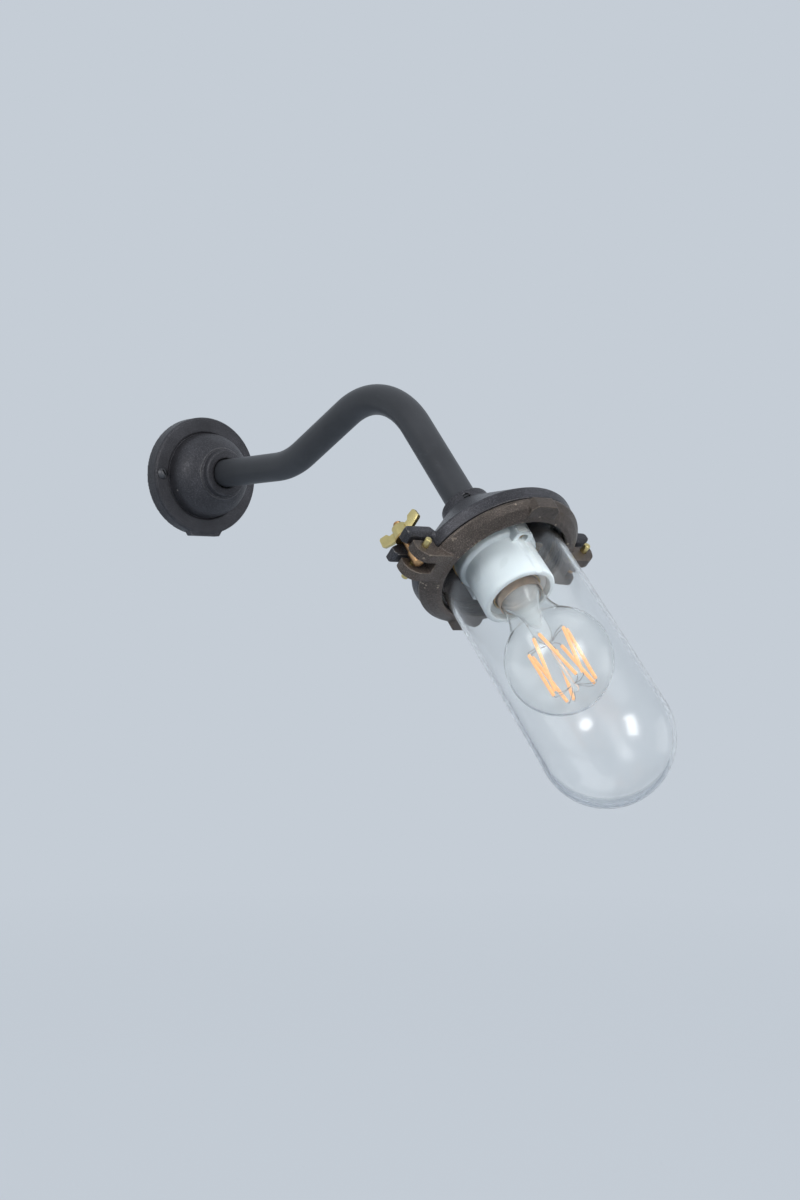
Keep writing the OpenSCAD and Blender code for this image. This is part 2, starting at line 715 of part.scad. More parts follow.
// A bolt that swings on its pin: the cross hole is at the origin and the bolt points to -z.
module swing_bolt() {
    tip = bolt_tip - pin_h;
    r = bolt_d / 2;
    difference() {
        rotate_extrude() polygon(concat(
            [[0, tip], [r - 0.7, tip], [r, tip + 0.7], [r, -5.4], [boss_r, -4.6]],
            arc(boss_r - 1.6, 2.6, 1.6, 0, 75, 6),
            [[0, 4.4]]));
        translate([0, 10, 0]) rotate([90, 0, 0]) cylinder(r = pin_r + fit_gap, h = 20);
    }
}

module flat_washer() {
    difference() {
        cylinder(r = washer_r, h = washer_t);
        translate([0, 0, -1]) cylinder(r = bolt_d / 2 + fit_gap, h = 4);
    }
}

// A wing nut standing on z = 0: a tapered hub with two square-ended paddles.
module wing_nut() {
    reach = wing_span / 2;
    difference() {
        union() {
            cylinder(r1 = 5.2, r2 = 4.4, h = nut_h);
            for (a = [0, 180]) rotate([0, 0, a]) translate([0, paddle_t / 2, 0]) rotate([90, 0, 0])
                linear_extrude(paddle_t) polygon([
                    [3.4, 0.8], [8.6, 1.8], [reach - 0.8, 3.4], [reach, 4.2], [reach - 0.4, 9],
                    [reach - 1.4, 9.8], [8.4, 9], [7, 6.8], [3.4, 6.4]]);
        }
        translate([0, 0, -1]) cylinder(r = bolt_d / 2 + fit_gap, h = 30);
    }
}

module on_bolt(s, z) {
    on_head() translate([s * bolt_x, 0, z]) children();
}

module left_swing_bolt() {
    color("goldenrod") on_bolt(-1, pin_h) swing_bolt();
}

module right_swing_bolt() {
    color("goldenrod") on_bolt(1, pin_h) swing_bolt();
}

module left_washer() {
    color("gold") on_bolt(-1, washer_top) flat_washer();
}

module right_washer() {
    color("gold") on_bolt(1, washer_top) flat_washer();
}

module left_wing_nut() {
    color("khaki") on_bolt(-1, washer_top) rotate([180, 0, 90 - wing_turn]) wing_nut();
}

module right_wing_nut() {
    color("khaki") on_bolt(1, washer_top) rotate([180, 0, 90 + wing_turn]) wing_nut();
}

// Outline of the bulb's glass, moved in by o from the outer skin.
function bulb_skin(o) = let (
        r = bulb_r - o, f = neck_arc_r + o, cx = bulb_neck_r + neck_arc_r,
        a = atan2(neck_dz, cx))
    concat([[bulb_neck_r - o, bulb_cap_foot - 3.2]],
        arc(cx, neck_start, f, 180, 180 - a, 8),
        arc(0, bulb_centre, r, -a, 90, 18));

module bulb_glass() {
    outer = bulb_skin(0);
    inner = bulb_skin(bulb_wall);
    n = len(inner);
    color("aliceblue", 0.4) on_head() rotate_extrude()
        polygon(concat(outer, [for (i = [0 : n - 1]) inner[n - 1 - i]]));
}

module bulb_screw_cap() {
    wall = 0.35;
    crest = ridges(cap_thread_r, 0.9, bulb_cap_foot - 4.2, bulb_cap_top + 2.4);
    n = len(crest);
    color("silver") on_head() rotate_extrude() polygon(concat(
        [[cap_thread_r + 0.15, bulb_cap_foot], [cap_thread_r + 0.15, bulb_cap_foot - 3.4]],
        crest, [[10.6, bulb_cap_top], [10.6 - wall, bulb_cap_top + wall]],
        [for (i = [0 : n - 1]) [crest[n - 1 - i][0] - wall, crest[n - 1 - i][1]]],
        [[cap_thread_r + 0.15 - wall, bulb_cap_foot - 3.4],
         [cap_thread_r + 0.15 - wall, bulb_cap_foot]]));
}

module bulb_insulator() {
    color("black") on_head() rotate_extrude() polygon([
        [4.4, bulb_tip + 1.6], [10.2, bulb_cap_top + 0.4], [10.2, bulb_cap_top + 1.6],
        [4.4, bulb_cap_top + 1.6]]);
}

module bulb_contact() {
    color("silver") on_head() intersection() {
        translate([0, 0, bulb_tip + 6]) sphere(r = 6);
        translate([0, 0, bulb_tip]) cylinder(r = 4.4, h = bulb_cap_top + 1.6 - bulb_tip);
    }
}

module bulb_stem() {
    foot = bulb_cap_foot - 1;
    color("aliceblue", 0.4) on_head() rotate_extrude() polygon([
        [0, foot], [bulb_neck_r - bulb_wall - 0.05, foot], [10.4, foot + 2.4], [6.6, foot + 9],
        [stem_r, foot + 18], [stem_r - 1.6, filament_mid - filament_len / 2 - 3],
        [1.4, filament_mid - filament_len / 2 + 2], [1.2, filament_mid + filament_len / 2 - 2],
        [2, filament_mid + filament_len / 2], [1.2, filament_mid + filament_len / 2 + 1.6],
        [0, filament_mid + filament_len / 2 + 2]]);
}

function filament_end(i, low) =
    let (a = 360 * i / filament_count + (low ? filament_twist / 2 : -filament_twist / 2)
            * (i % 2 == 0 ? 1 : -1),
         r = low ? filament_foot_r : filament_top_r)
    [r * cos(a), r * sin(a), filament_mid + (low ? 1 : -1) * filament_len / 2];

module bulb_support_wires() {
    color("silver") on_head() for (i = [0 : filament_count - 1], low = [false, true]) {
        tip = filament_end(i, low);
        k = (low ? wire_foot_r : wire_top_r) / norm([tip[0], tip[1]]);
        rod([tip[0] * k, tip[1] * k, tip[2]], tip, wire_r);
    }
}

module bulb_filaments() {
    color("orange") on_head() for (i = [0 : filament_count - 1]) {
        a = filament_end(i, false);
        b = filament_end(i, true);
        u = (b - a) / norm(b - a);
        rod(a + u * (wire_r + 0.1), b - u * (wire_r + 0.1), filament_r);
    }
}

wall_plate();
wall_screws();
neck_set_screw();
swan_neck();
neck_locknut();
terminal_block();
terminal_block_screw();
terminal_sleeves();
terminal_screws();
earth_screw();
live_lead();
neutral_lead();
earth_lead();
cap_casting();
cap_set_screw();
cap_locknut();
cap_gasket();
holder_bracket();
bracket_screws();
lampholder_body();
holder_screws();
holder_shell();
centre_contact();
holder_terminals();
clamp_ring();
ring_gasket();
well_glass();
hinge_pins();
left_swing_bolt();
left_washer();
left_wing_nut();
right_swing_bolt();
right_washer();
right_wing_nut();
bulb_glass();
bulb_screw_cap();
bulb_insulator();
bulb_contact();
bulb_stem();
bulb_support_wires();
bulb_filaments();
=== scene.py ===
"""Looks of a swan-neck bracket light: cast plate and cap, bent tube, well glass, lampholder and bulb."""

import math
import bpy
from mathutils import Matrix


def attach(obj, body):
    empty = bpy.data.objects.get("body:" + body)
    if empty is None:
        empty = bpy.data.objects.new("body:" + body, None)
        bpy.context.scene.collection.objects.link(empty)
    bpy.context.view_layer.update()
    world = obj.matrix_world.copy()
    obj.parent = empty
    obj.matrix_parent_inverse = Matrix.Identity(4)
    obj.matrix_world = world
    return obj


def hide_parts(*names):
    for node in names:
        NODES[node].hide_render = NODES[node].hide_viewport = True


bl_info = {
    "name": "Bracket Light",
    "version": (1, 0, 0),
    "blender": (4, 5, 0),
    "location": "3D View > Sidebar > Bracket Light",
    "description": "Builds a swan-neck wall light with a well glass, an E27 lampholder and a filament bulb",
    "category": "Object",
}

import bmesh
import bpy
from bpy.props import FloatProperty, FloatVectorProperty, IntProperty, PointerProperty
from mathutils import Matrix, Vector

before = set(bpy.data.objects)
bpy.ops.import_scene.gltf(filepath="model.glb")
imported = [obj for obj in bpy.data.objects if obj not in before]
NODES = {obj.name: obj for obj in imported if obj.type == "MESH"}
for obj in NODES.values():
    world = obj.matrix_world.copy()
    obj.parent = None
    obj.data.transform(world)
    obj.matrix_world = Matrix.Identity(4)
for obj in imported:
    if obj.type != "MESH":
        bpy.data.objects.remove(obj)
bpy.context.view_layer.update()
MM = 0.001

# The neck's path, in millimetres and degrees, as the solids have it.
RUN_1, BEND_1, RISE, RUN_2, BEND_2, FALL, RUN_3 = 100.5, 74.0, 24.7, 52.6, 60.4, 47.9, 67.4
CAP_H = 43.9
TO_FACE = RUN_3 + CAP_H  # from the last bend to the cap's parting face
NECK_END = 13.0
NECK_TIP = -22.4
E27_PITCH = 3.629
PLATE_T = 11.4


def neck_points(start, stop, side=0.0, up=0.0):
    """Points of the neck's centre line, out from the wall and up, moved sideways and upwards, in mm."""
    rise, fall = math.radians(RISE), math.radians(FALL)
    out = [(start, up), (RUN_1, up)]
    for i in range(1, 17):
        a = rise * i / 16
        out.append((RUN_1 + (BEND_1 - up) * math.sin(a), BEND_1 - (BEND_1 - up) * math.cos(a)))
    x = RUN_1 + BEND_1 * math.sin(rise) + RUN_2 * math.cos(rise)
    z = BEND_1 * (1 - math.cos(rise)) + RUN_2 * math.sin(rise)
    cx, cz = x + BEND_2 * math.sin(rise), z - BEND_2 * math.cos(rise)
    for i in range(0, 41):
        a = -rise + (rise + fall) * i / 40
        out.append((cx + (BEND_2 + up) * math.sin(a), cz + (BEND_2 + up) * math.cos(a)))
    last = out[-1]
    out.append((last[0] + stop * math.cos(fall), last[1] - stop * math.sin(fall)))
    return [Vector((side, -a, b)) for a, b in out]


def head_matrix():
    """Frame of the lamp head: z runs down the lamp axis from the cap's parting face, y is its upper side."""
    end = neck_points(0, 0)[-1]
    turn = Matrix.Rotation(math.radians(90 + FALL), 4, "X")
    return Matrix.Translation(end) @ turn @ Matrix.Translation((0, 0, TO_FACE))


HEAD = head_matrix()
WALL = Matrix.Rotation(math.radians(90), 4, "X")
SCALE = Matrix.Scale(MM, 4)


# ---------------------------------------------------------------- meshes


def new_object(name, data):
    """An object in the scene with this data."""
    obj = bpy.data.objects.new(name, data)
    bpy.context.scene.collection.objects.link(obj)
    return obj


def edit_mesh(obj, change):
    """Changes an object's mesh as a bmesh."""
    bm = bmesh.new()
    bm.from_mesh(obj.data)
    change(bm)
    bm.to_mesh(obj.data)
    bm.free()


def shade(obj, degrees):
    """Shades smooth, with edges sharper than the angle left sharp."""
    obj.data.shade_smooth()
    if degrees < 180:
        obj.data.set_sharp_from_angle(angle=math.radians(degrees))
    return obj


def new_piece(name, verts, faces, place, smooth):
    """A mesh in millimetres, set in its place and turned to metres, with its faces looking outwards."""
    mesh = bpy.data.meshes.new(name)
    mesh.from_pydata([tuple(v) for v in verts], [], faces)
    mesh.transform(SCALE @ place)
    obj = new_object(name, mesh)

    def clean(bm):
        bmesh.ops.remove_doubles(bm, verts=bm.verts, dist=1e-7)
        bmesh.ops.recalc_face_normals(bm, faces=bm.faces)

    edit_mesh(obj, clean)
    return shade(obj, smooth)


def lathe(name, profile, place, segments, smooth=40, radius=None):
    """Turns a closed outline of (radius, height) points about z. radius(r, z, angle) may vary it."""
    verts, faces = [], []
    n = len(profile)
    rings = []
    for r, z in profile:
        if r < 1e-6:
            verts.append((0, 0, z))
            rings.append([len(verts) - 1] * segments)
            continue
        ring = []
        for j in range(segments):
            a = 2 * math.pi * j / segments
            rr = radius(r, z, a) if radius else r
            verts.append((rr * math.cos(a), rr * math.sin(a), z))
            ring.append(len(verts) - 1)
        rings.append(ring)
    for i in range(n):
        a, b = rings[i], rings[(i + 1) % n]
        for j in range(segments):
            k = (j + 1) % segments
            quad = [a[j], a[k], b[k], b[j]]
            quad = [v for q, v in enumerate(quad) if v not in quad[:q]]
            if len(quad) > 2:
                faces.append(quad)
    return new_piece(name, verts, faces, place, smooth)


def evenly(a, b, n):
    """Numbers from a to b in n equal steps."""
    return [a + (b - a) * i / n for i in range(n + 1)]


def arc(cx, cz, r, a0, a1, n):
    """Points of an arc, in degrees."""
    turns = [math.radians(a) for a in evenly(a0, a1, n)]
    return [(cx + r * math.cos(a), cz + r * math.sin(a)) for a in turns]


def rounded(points, r, steps=6):
    """A path of points, in a plane or in space, with each inner corner rounded by up to r."""
    points = [Vector(p) for p in points]
    out = [points[0]]
    for before, p, after in zip(points, points[1:], points[2:]):
        back, on = before - p, after - p
        cut = min(r, back.length * 0.45, on.length * 0.45)
        if cut < 1e-4:
            out.append(p)
            continue
        start, end = p + back.normalized() * cut, p + on.normalized() * cut
        for k in range(steps + 1):
            t = k / steps
            out.append(start * (1 - t) ** 2 + p * 2 * t * (1 - t) + end * t * t)
    return out + [points[-1]]


def threaded(least, start, stop, depth, pitch, fade_in, fade_out):
    """A radius rule for lathe: a round thread from height start to stop, cut into all wider than least."""

    def rule(r, z, a):
        fade = min(1.0, (z - start) / fade_in, (stop - z) / fade_out)
        if r < least or fade < 0:
            return r
        crest = 0.5 + 0.5 * math.cos(2 * math.pi * (z / pitch - a / (2 * math.pi)))
        return r - depth * fade * (1 - crest)

    return rule


def cad_copy(node, name):
    """A merged copy of a CAD node's mesh."""
    obj = new_object(name, NODES[node].data.copy())
    obj.data.materials.clear()
    edit_mesh(obj, lambda bm: bmesh.ops.remove_doubles(bm, verts=bm.verts, dist=2e-6))
    return obj


def settle(obj):
    """Applies every modifier by taking the evaluated mesh."""
    bpy.context.view_layer.update()
    graph = bpy.context.evaluated_depsgraph_get()
    done = obj.evaluated_get(graph)
    mesh = bpy.data.meshes.new_from_object(done, preserve_all_data_layers=True, depsgraph=graph)
    if obj.type == "MESH":
        obj.modifiers.clear()
        obj.data = mesh
        return obj
    name = obj.name
    piece = new_object(name + "_mesh", mesh)
    bpy.data.objects.remove(obj)
    piece.name = name
    return piece


def cast_copy(node, name, voxel):
    """A CAD node with the softened edges of a casting: remeshed finely and smoothed a little."""
    obj = cad_copy(node, name)
    remesh = obj.modifiers.new("Remesh", "REMESH")
    remesh.mode = "VOXEL"
    remesh.voxel_size = voxel * MM
    smooth = obj.modifiers.new("Smooth", "SMOOTH")
    smooth.factor = 0.5
    smooth.iterations = 1
    settle(obj)
    return shade(obj, 180)


def machined_copy(node, name, bevel):
    """A CAD node with flat faces made whole and its sharp edges broken by a small bevel."""
    obj = cad_copy(node, name)
    flat = math.radians(0.8)
    edit_mesh(obj, lambda bm: bmesh.ops.dissolve_limit(bm, angle_limit=flat, verts=bm.verts, edges=bm.edges))
    mod = obj.modifiers.new("Bevel", "BEVEL")
    mod.width = bevel * MM
    mod.segments = 3 if bevel > 0.4 else 2
    mod.limit_method = "ANGLE"
    mod.angle_limit = math.radians(32)
    settle(obj)
    return shade(obj, 30)


def carve(obj, cutter):
    """Takes the cutter's shape out of a piece, and then the cutter away."""
    cut = obj.modifiers.new("Carve", "BOOLEAN")
    cut.operation, cut.solver, cut.object = "DIFFERENCE", "EXACT", cutter
    settle(obj)
    bpy.data.objects.remove(cutter)


def groove_cut(obj, wide, high, line, depth, place):
    """Cuts a rectangular groove, wide along x and high along z, into a face that looks along y."""
    verts, faces = [], []
    for y in (-depth, depth):
        for w, h in ((wide / 2, high / 2), (wide / 2 - line, high / 2 - line)):
            verts += [(-w, y, -h), (w, y, -h), (w, y, h), (-w, y, h)]
    for i in range(4):
        k = (i + 1) % 4
        faces += [[i, k, 8 + k, 8 + i], [4 + k, 4 + i, 12 + i, 12 + k]]
        faces += [[k, i, 4 + i, 4 + k], [8 + i, 8 + k, 12 + k, 12 + i]]
    carve(obj, new_piece("groove_cutter", verts, faces, place, 30))


def slot_cut(obj, wide, deep, long, places):
    """Cuts a driver slot, long along x and deep below the origin, at each place."""
    x, y = long / 2, wide / 2
    verts = [(a, b, c) for c in (-deep, deep * 2) for a, b in ((-x, -y), (x, -y), (x, y), (-x, y))]
    faces = [[3, 2, 1, 0], [4, 5, 6, 7]] + [[i, (i + 1) % 4, 4 + (i + 1) % 4, 4 + i] for i in range(4)]
    for place in places:
        carve(obj, new_piece("slot_cutter", verts, faces, place, 30))


def finish_piece(obj, material, body, *nodes, slot=None):
    """Gives a piece its material, its body and the CAD nodes that it stands for."""
    if material is not None:
        obj.data.materials.clear()
        obj.data.materials.append(material)
    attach(obj, body)
    if nodes:
        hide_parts(*nodes)
    return obj


# ---------------------------------------------------------------- materials


class Mixer:
    """A material's node tree, built step by step."""

    def __init__(self, name):
        self.mat = bpy.data.materials.new(name)
        self.mat.use_nodes = True
        self.tree = self.mat.node_tree
        self.tree.nodes.clear()
        self.out = self.tree.nodes.new("ShaderNodeOutputMaterial")
        self.bsdf = self.tree.nodes.new("ShaderNodeBsdfPrincipled")
        self.join(self.bsdf.outputs[0], self.out.inputs[0])
        self.coords = self.tree.nodes.new("ShaderNodeTexCoord").outputs["Object"]

    def join(self, a, b):
        self.tree.links.new(a, b)

    def put(self, value, socket):
        """Joins another node's socket to this one, or gives it a value."""
        if isinstance(value, bpy.types.NodeSocket):
            self.join(value, socket)
        else:
            socket.default_value = value

    def fill(self, node, values):
        for key, value in values.items():
            self.put(value, node.inputs[key.replace("_", " ")])
        return node

    def node(self, kind, **values):
        return self.fill(self.tree.nodes.new("ShaderNode" + kind), values)

    def set(self, **values):
        self.fill(self.bsdf, values)

    def stretched(self, scale, turn=(0, 0, 0)):
        return self.node("Mapping", Scale=scale, Rotation=turn, Vector=self.coords).outputs[0]

    def noise(self, scale, detail, rough=0.55, distortion=0.0, vector=None):
        look = {"Scale": scale, "Detail": detail, "Roughness": rough, "Distortion": distortion}
        return self.node("TexNoise", Vector=vector or self.coords, **look).outputs["Fac"]

    def cells(self, scale):
        return self.node("TexVoronoi", Vector=self.coords, Scale=scale).outputs["Distance"]

    def ramp(self, value, stops):
        node = self.tree.nodes.new("ShaderNodeValToRGB")
        ramp = node.color_ramp
        ramp.elements[0].position, ramp.elements[0].color = stops[0][0], tuple(stops[0][1]) + (1,)
        ramp.elements[1].position, ramp.elements[1].color = stops[-1][0], tuple(stops[-1][1]) + (1,)
        for place, colour in stops[1:-1]:
            ramp.elements.new(place).color = tuple(colour) + (1,)
        self.join(value, node.inputs[0])
        return node.outputs[0]

    def span(self, value, low, high, to_low=0.0, to_high=1.0):
        ends = {"From_Min": low, "From_Max": high, "To_Min": to_low, "To_Max": to_high}
        return self.node("MapRange", Value=value, **ends).outputs[0]

    def math(self, kind, a, b):
        node = self.node("Math")
        node.operation = kind
        self.put(a, node.inputs[0])
        self.put(b, node.inputs[1])
        return node.outputs[0]

    def blend(self, fac, a, b, kind="MIX"):
        node = self.node("Mix")
        node.data_type, node.blend_type = "RGBA", kind
        self.put(fac, node.inputs[0])
        for key, value in ((6, a), (7, b)):
            self.put(value if isinstance(value, bpy.types.NodeSocket) else (*value, 1), node.inputs[key])
        return node.outputs[2]

    def edge(self, low, high):
        """How sharply the surface bulges here, from 0 to 1."""
        return self.span(self.node("NewGeometry").outputs["Pointiness"], low, high)

    def bump(self, height, distance, strength, below=None):
        node = self.node("Bump", Height=height, Strength=strength, Distance=distance * MM)
        if below is not None:
            self.join(below, node.inputs["Normal"])
        return node.outputs[0]


def linear(r, g, b):
    """A screen colour, 0 to 255, as linear light."""
    out = []
    for c in (r, g, b):
        c /= 255
        out.append(c / 12.92 if c <= 0.04045 else ((c + 0.055) / 1.055) ** 2.4)
    return tuple(out)


def toned(colour, k):
    """A colour times k, up to full white, so a k above 1 makes it paler."""
    return tuple(min(1, c * k) for c in colour)


def cast_finish(name, colour, wear_and_highlight, roughness=0.42, metal=0.35, grain=1.0):
    """Sand-cast iron: packed grains whose paler specks are partly painted glints, small pits, cloudy tone and
    edges made bright by wear and a painted highlight.
    """
    m = Mixer(name)
    cloud = m.noise(38, 4, 0.6)
    grains = m.noise(1750, 3, 0.7)
    pits = m.cells(700)
    tone = m.ramp(cloud, [(0.30, toned(colour, 0.70)), (0.52, colour), (0.72, toned(colour, 1.35))])
    # Paler specks, partly painted glints: they lift the base colour up to 2.3 times where the grains would
    # sparkle in the light.
    speck = m.ramp(grains, [(0.34, (0.50, 0.50, 0.50)), (0.54, (0.90, 0.90, 0.90)), (0.68, (2.3, 2.3, 2.35))])
    mixed = m.blend(0.85, tone, speck, "MULTIPLY")
    # Painted highlight and wear: sharp edges, found by pointiness, are blended to the paler edge colour. This
    # stands for the bright lines that light catches on the edges as well as for rubbing.
    bright_edge_mask = m.math("MULTIPLY", m.edge(0.53, 0.585), m.span(m.noise(170, 3), 0.36, 0.60, 0.25, 1.0))
    tinted = m.blend(bright_edge_mask, mixed, wear_and_highlight)
    rough = m.span(grains, 0.3, 0.7, roughness + 0.14, roughness - 0.12)
    low = m.bump(m.noise(260, 2), 0.16, 0.5)
    mid = m.bump(m.span(pits, 0.0, 0.35), 0.06 * grain, 0.6, low)
    top = m.bump(grains, 0.13 * grain, 0.9, mid)
    m.set(Base_Color=tinted, Roughness=rough, Metallic=metal, Specular_IOR_Level=0.3, Normal=top)
    return m.mat


def tube_finish(name, colour):
    """Satin powder coat on tube: even, with a faint orange peel and some handling marks."""
    m = Mixer(name)
    cloud = m.noise(26, 3)
    tone = m.ramp(cloud, [(0.35, toned(colour, 0.88)), (0.68, toned(colour, 1.18))])
    marks = m.noise(90, 5, 0.7, 1.2, m.stretched((1, 0.25, 1)))
    scuff = m.span(marks, 0.62, 0.74, 0.0, 0.22)
    peel = m.noise(1400, 2)
    m.set(
        Base_Color=m.blend(scuff, tone, toned(colour, 2.2)),
        Roughness=m.span(cloud, 0.3, 0.7, 0.36, 0.46),
        Metallic=0.0,
        Specular_IOR_Level=0.32,
        Normal=m.bump(peel, 0.012, 0.35, m.bump(m.noise(55, 2), 0.10, 0.3)),
    )
    return m.mat


def brass_finish(name, colour, roughness, tarnish, lines=0.5):
    """Turned and polished brass with fine tool lines and some tarnish in patches."""
    m = Mixer(name)
    patch = m.noise(150, 4, 0.6)
    tone = m.ramp(patch, [(0.34, toned(colour, 1.0 - tarnish)), (0.66, colour)])
    fine = m.noise(2600, 2, 0.6, 0.0, m.stretched((1, 1, 0.12)))
    bright_edge_mask = m.edge(0.53, 0.62)
    dull = m.span(patch, 0.3, 0.7, roughness + 0.14, roughness)
    m.set(
        Base_Color=m.blend(m.math("MULTIPLY", bright_edge_mask, 0.6), tone, toned(colour, 1.2)),
        Roughness=m.math("ADD", dull, m.span(fine, 0.3, 0.7, 0.0, 0.06)),
        Metallic=1.0,
        Normal=m.bump(fine, 0.012, lines),
    )
    return m.mat


def steel_finish(name, colour, roughness):
    """Plated steel hardware, a little cloudy, with fine scratches."""
    m = Mixer(name)
    patch = m.noise(210, 3)
    scratch = m.noise(1700, 4, 0.7, 0.4, m.stretched((1, 0.2, 1), (0, 0.4, 0.7)))
    m.set(
        Base_Color=m.ramp(patch, [(0.3, toned(colour, 0.75)), (0.7, colour)]),
        Roughness=m.span(scratch, 0.3, 0.7, roughness, roughness + 0.18),
        Metallic=1.0,
        Normal=m.bump(scratch, 0.010, 0.5),
    )
    return m.mat


def porcelain_finish(name, colour):
    """Glazed porcelain: soft waves in the glaze, a few iron specks and a warmer tone where it thins."""
    m = Mixer(name)
    wave = m.noise(70, 2)
    speck = m.span(m.cells(330), 0.0, 0.05, 1.0, 0.0)
    rare = m.math("MULTIPLY", speck, m.span(m.noise(95, 1), 0.60, 0.66))
    tone = m.ramp(wave, [(0.3, toned(colour, 0.965)), (0.7, colour)])
    thin = m.blend(m.math("MULTIPLY", m.edge(0.54, 0.62), 0.35), tone, (0.80, 0.76, 0.68))
    m.set(
        Base_Color=m.blend(m.math("MULTIPLY", rare, 0.5), thin, (0.30, 0.24, 0.18)),
        Roughness=m.span(wave, 0.3, 0.7, 0.26, 0.34),
        Coat_Weight=0.25,
        Coat_Roughness=0.12,
        Subsurface_Weight=0.08,
        Subsurface_Radius=(0.002, 0.0018, 0.0016),
        Normal=m.bump(wave, 0.22, 0.35, m.bump(m.noise(420, 2), 0.02, 0.3)),
    )
    m.bsdf.subsurface_method = "RANDOM_WALK"
    return m.mat


def glass_finish(name, colour, ripple, scale, smear, bend, milk, sheen):
    """Clear glass with slow ripples from blowing, a trace of smear and a soft mirror film on its face."""
    m = Mixer(name)
    wave = m.noise(scale, 2, 0.5, 0.6)
    film = m.noise(46, 4, 0.6, 0.8)
    m.set(
        Base_Color=m.ramp(film, [(0.3, toned(colour, 0.985)), (0.7, colour)]),
        Roughness=m.span(film, 0.52, 0.78, 0.0, smear),
        IOR=bend,
        Transmission_Weight=1.0 - milk,
        Coat_Weight=sheen,
        Coat_Roughness=0.20,
        Normal=m.bump(wave, ripple, 0.5),
    )
    return m.mat


def plastic_finish(name, colour, roughness, texture=900):
    """Moulded plastic with a fine spark texture and a slow change of tone."""
    m = Mixer(name)
    cloud = m.noise(60, 3)
    m.set(
        Base_Color=m.ramp(cloud, [(0.3, toned(colour, 0.9)), (0.7, toned(colour, 1.06))]),
        Roughness=m.span(cloud, 0.3, 0.7, roughness, roughness + 0.1),
        Normal=m.bump(m.noise(texture, 2), 0.02, 0.6),
    )
    return m.mat


def earth_sheath_finish(name):
    """Sheath of the earth lead: green with yellow along one side."""
    m = Mixer(name)
    side = m.span(m.node("SeparateXYZ", Vector=m.coords).outputs[0], -0.00002, 0.00002)
    cloud = m.noise(80, 2)
    green = m.ramp(cloud, [(0.3, (0.05, 0.22, 0.03)), (0.7, (0.07, 0.28, 0.04))])
    m.set(
        Base_Color=m.blend(side, green, (0.75, 0.62, 0.04)),
        Roughness=0.45,
        Normal=m.bump(m.noise(900, 2), 0.02, 0.5),
    )
    return m.mat


def rubber_finish(name):
    """Moulded rubber gasket, dusty and matt."""
    m = Mixer(name)
    dust = m.noise(240, 4, 0.7)
    m.set(
        Base_Color=m.ramp(dust, [(0.35, (0.012, 0.012, 0.012)), (0.75, (0.045, 0.043, 0.04))]),
        Roughness=m.span(dust, 0.3, 0.7, 0.75, 0.9),
        Normal=m.bump(dust, 0.04, 0.7),
    )
    return m.mat


def filament_finish(name, colour, glow):
    """Phosphor coat over a row of light points: amber, brighter at each point."""
    m = Mixer(name)
    beads = m.cells(900)
    tone = m.ramp(beads, [(0.0, toned(colour, 1.12)), (0.6, toned(colour, 0.90))])
    m.set(
        Base_Color=m.ramp(beads, [(0.0, toned(colour, 0.45)), (0.6, toned(colour, 0.3))]),
        Roughness=0.6,
        Emission_Color=tone,
        Emission_Strength=glow,
        Normal=m.bump(m.noise(1800, 2), 0.03, 0.6),
    )
    return m.mat


def wire_finish(name):
    """Bright drawn nickel wire."""
    m = Mixer(name)
    fine = m.noise(3000, 2, 0.5, 0.0, m.stretched((1, 1, 0.2)))
    m.set(
        Base_Color=m.ramp(fine, [(0.3, (0.24, 0.24, 0.25)), (0.7, (0.40, 0.40, 0.41))]),
        Roughness=m.span(fine, 0.3, 0.7, 0.22, 0.36),
        Metallic=1.0,
    )
    return m.mat


# ---------------------------------------------------------------- geometry node trees


def run_tree(obj, tree, values):
    """Puts a node tree on an object, sets its named inputs and returns the finished mesh piece."""
    mod = obj.modifiers.new(tree.name, "NODES")
    mod.node_group = tree
    for item in tree.interface.items_tree:
        if item.item_type == "SOCKET" and item.in_out == "INPUT" and item.name in values:
            mod[item.identifier] = values[item.name]
    return settle(obj)


def new_tree(name, numbers):
    """A node tree that takes geometry, some named numbers and a finish, and ends by painting its pieces."""
    tree = bpy.data.node_groups.new(name, "GeometryNodeTree")
    add = tree.interface.new_socket
    add("Geometry", in_out="INPUT", socket_type="NodeSocketGeometry")
    for label, kind, value in numbers:
        add(label, in_out="INPUT", socket_type="NodeSocket" + kind).default_value = value
    add("Finish", in_out="INPUT", socket_type="NodeSocketMaterial")
    add("Geometry", in_out="OUTPUT", socket_type="NodeSocketGeometry")
    n, link = tree.nodes, tree.links.new
    entry, leave = n.new("NodeGroupInput"), n.new("NodeGroupOutput")
    real, paint = n.new("GeometryNodeRealizeInstances"), n.new("GeometryNodeSetMaterial")
    link(real.outputs[0], paint.inputs[0])
    link(entry.outputs["Finish"], paint.inputs["Material"])
    link(paint.outputs[0], leave.inputs[0])
    return tree, n, link, entry, real


def wire_tree(name):
    """Sweeps a round section along every curve, closed at both ends."""
    tree, n, link, entry, real = new_tree(name, (("Radius", "Float", 0.001), ("Sides", "Int", 16)))
    circle = n.new("GeometryNodeCurvePrimitiveCircle")
    sweep = n.new("GeometryNodeCurveToMesh")
    smooth = n.new("GeometryNodeSetShadeSmooth")
    sweep.inputs["Fill Caps"].default_value = True
    link(entry.outputs["Sides"], circle.inputs["Resolution"])
    link(entry.outputs["Radius"], circle.inputs["Radius"])
    link(entry.outputs["Geometry"], sweep.inputs["Curve"])
    link(circle.outputs["Curve"], sweep.inputs["Profile Curve"])
    link(sweep.outputs[0], smooth.inputs[0])
    link(smooth.outputs[0], real.inputs[0])
    return tree


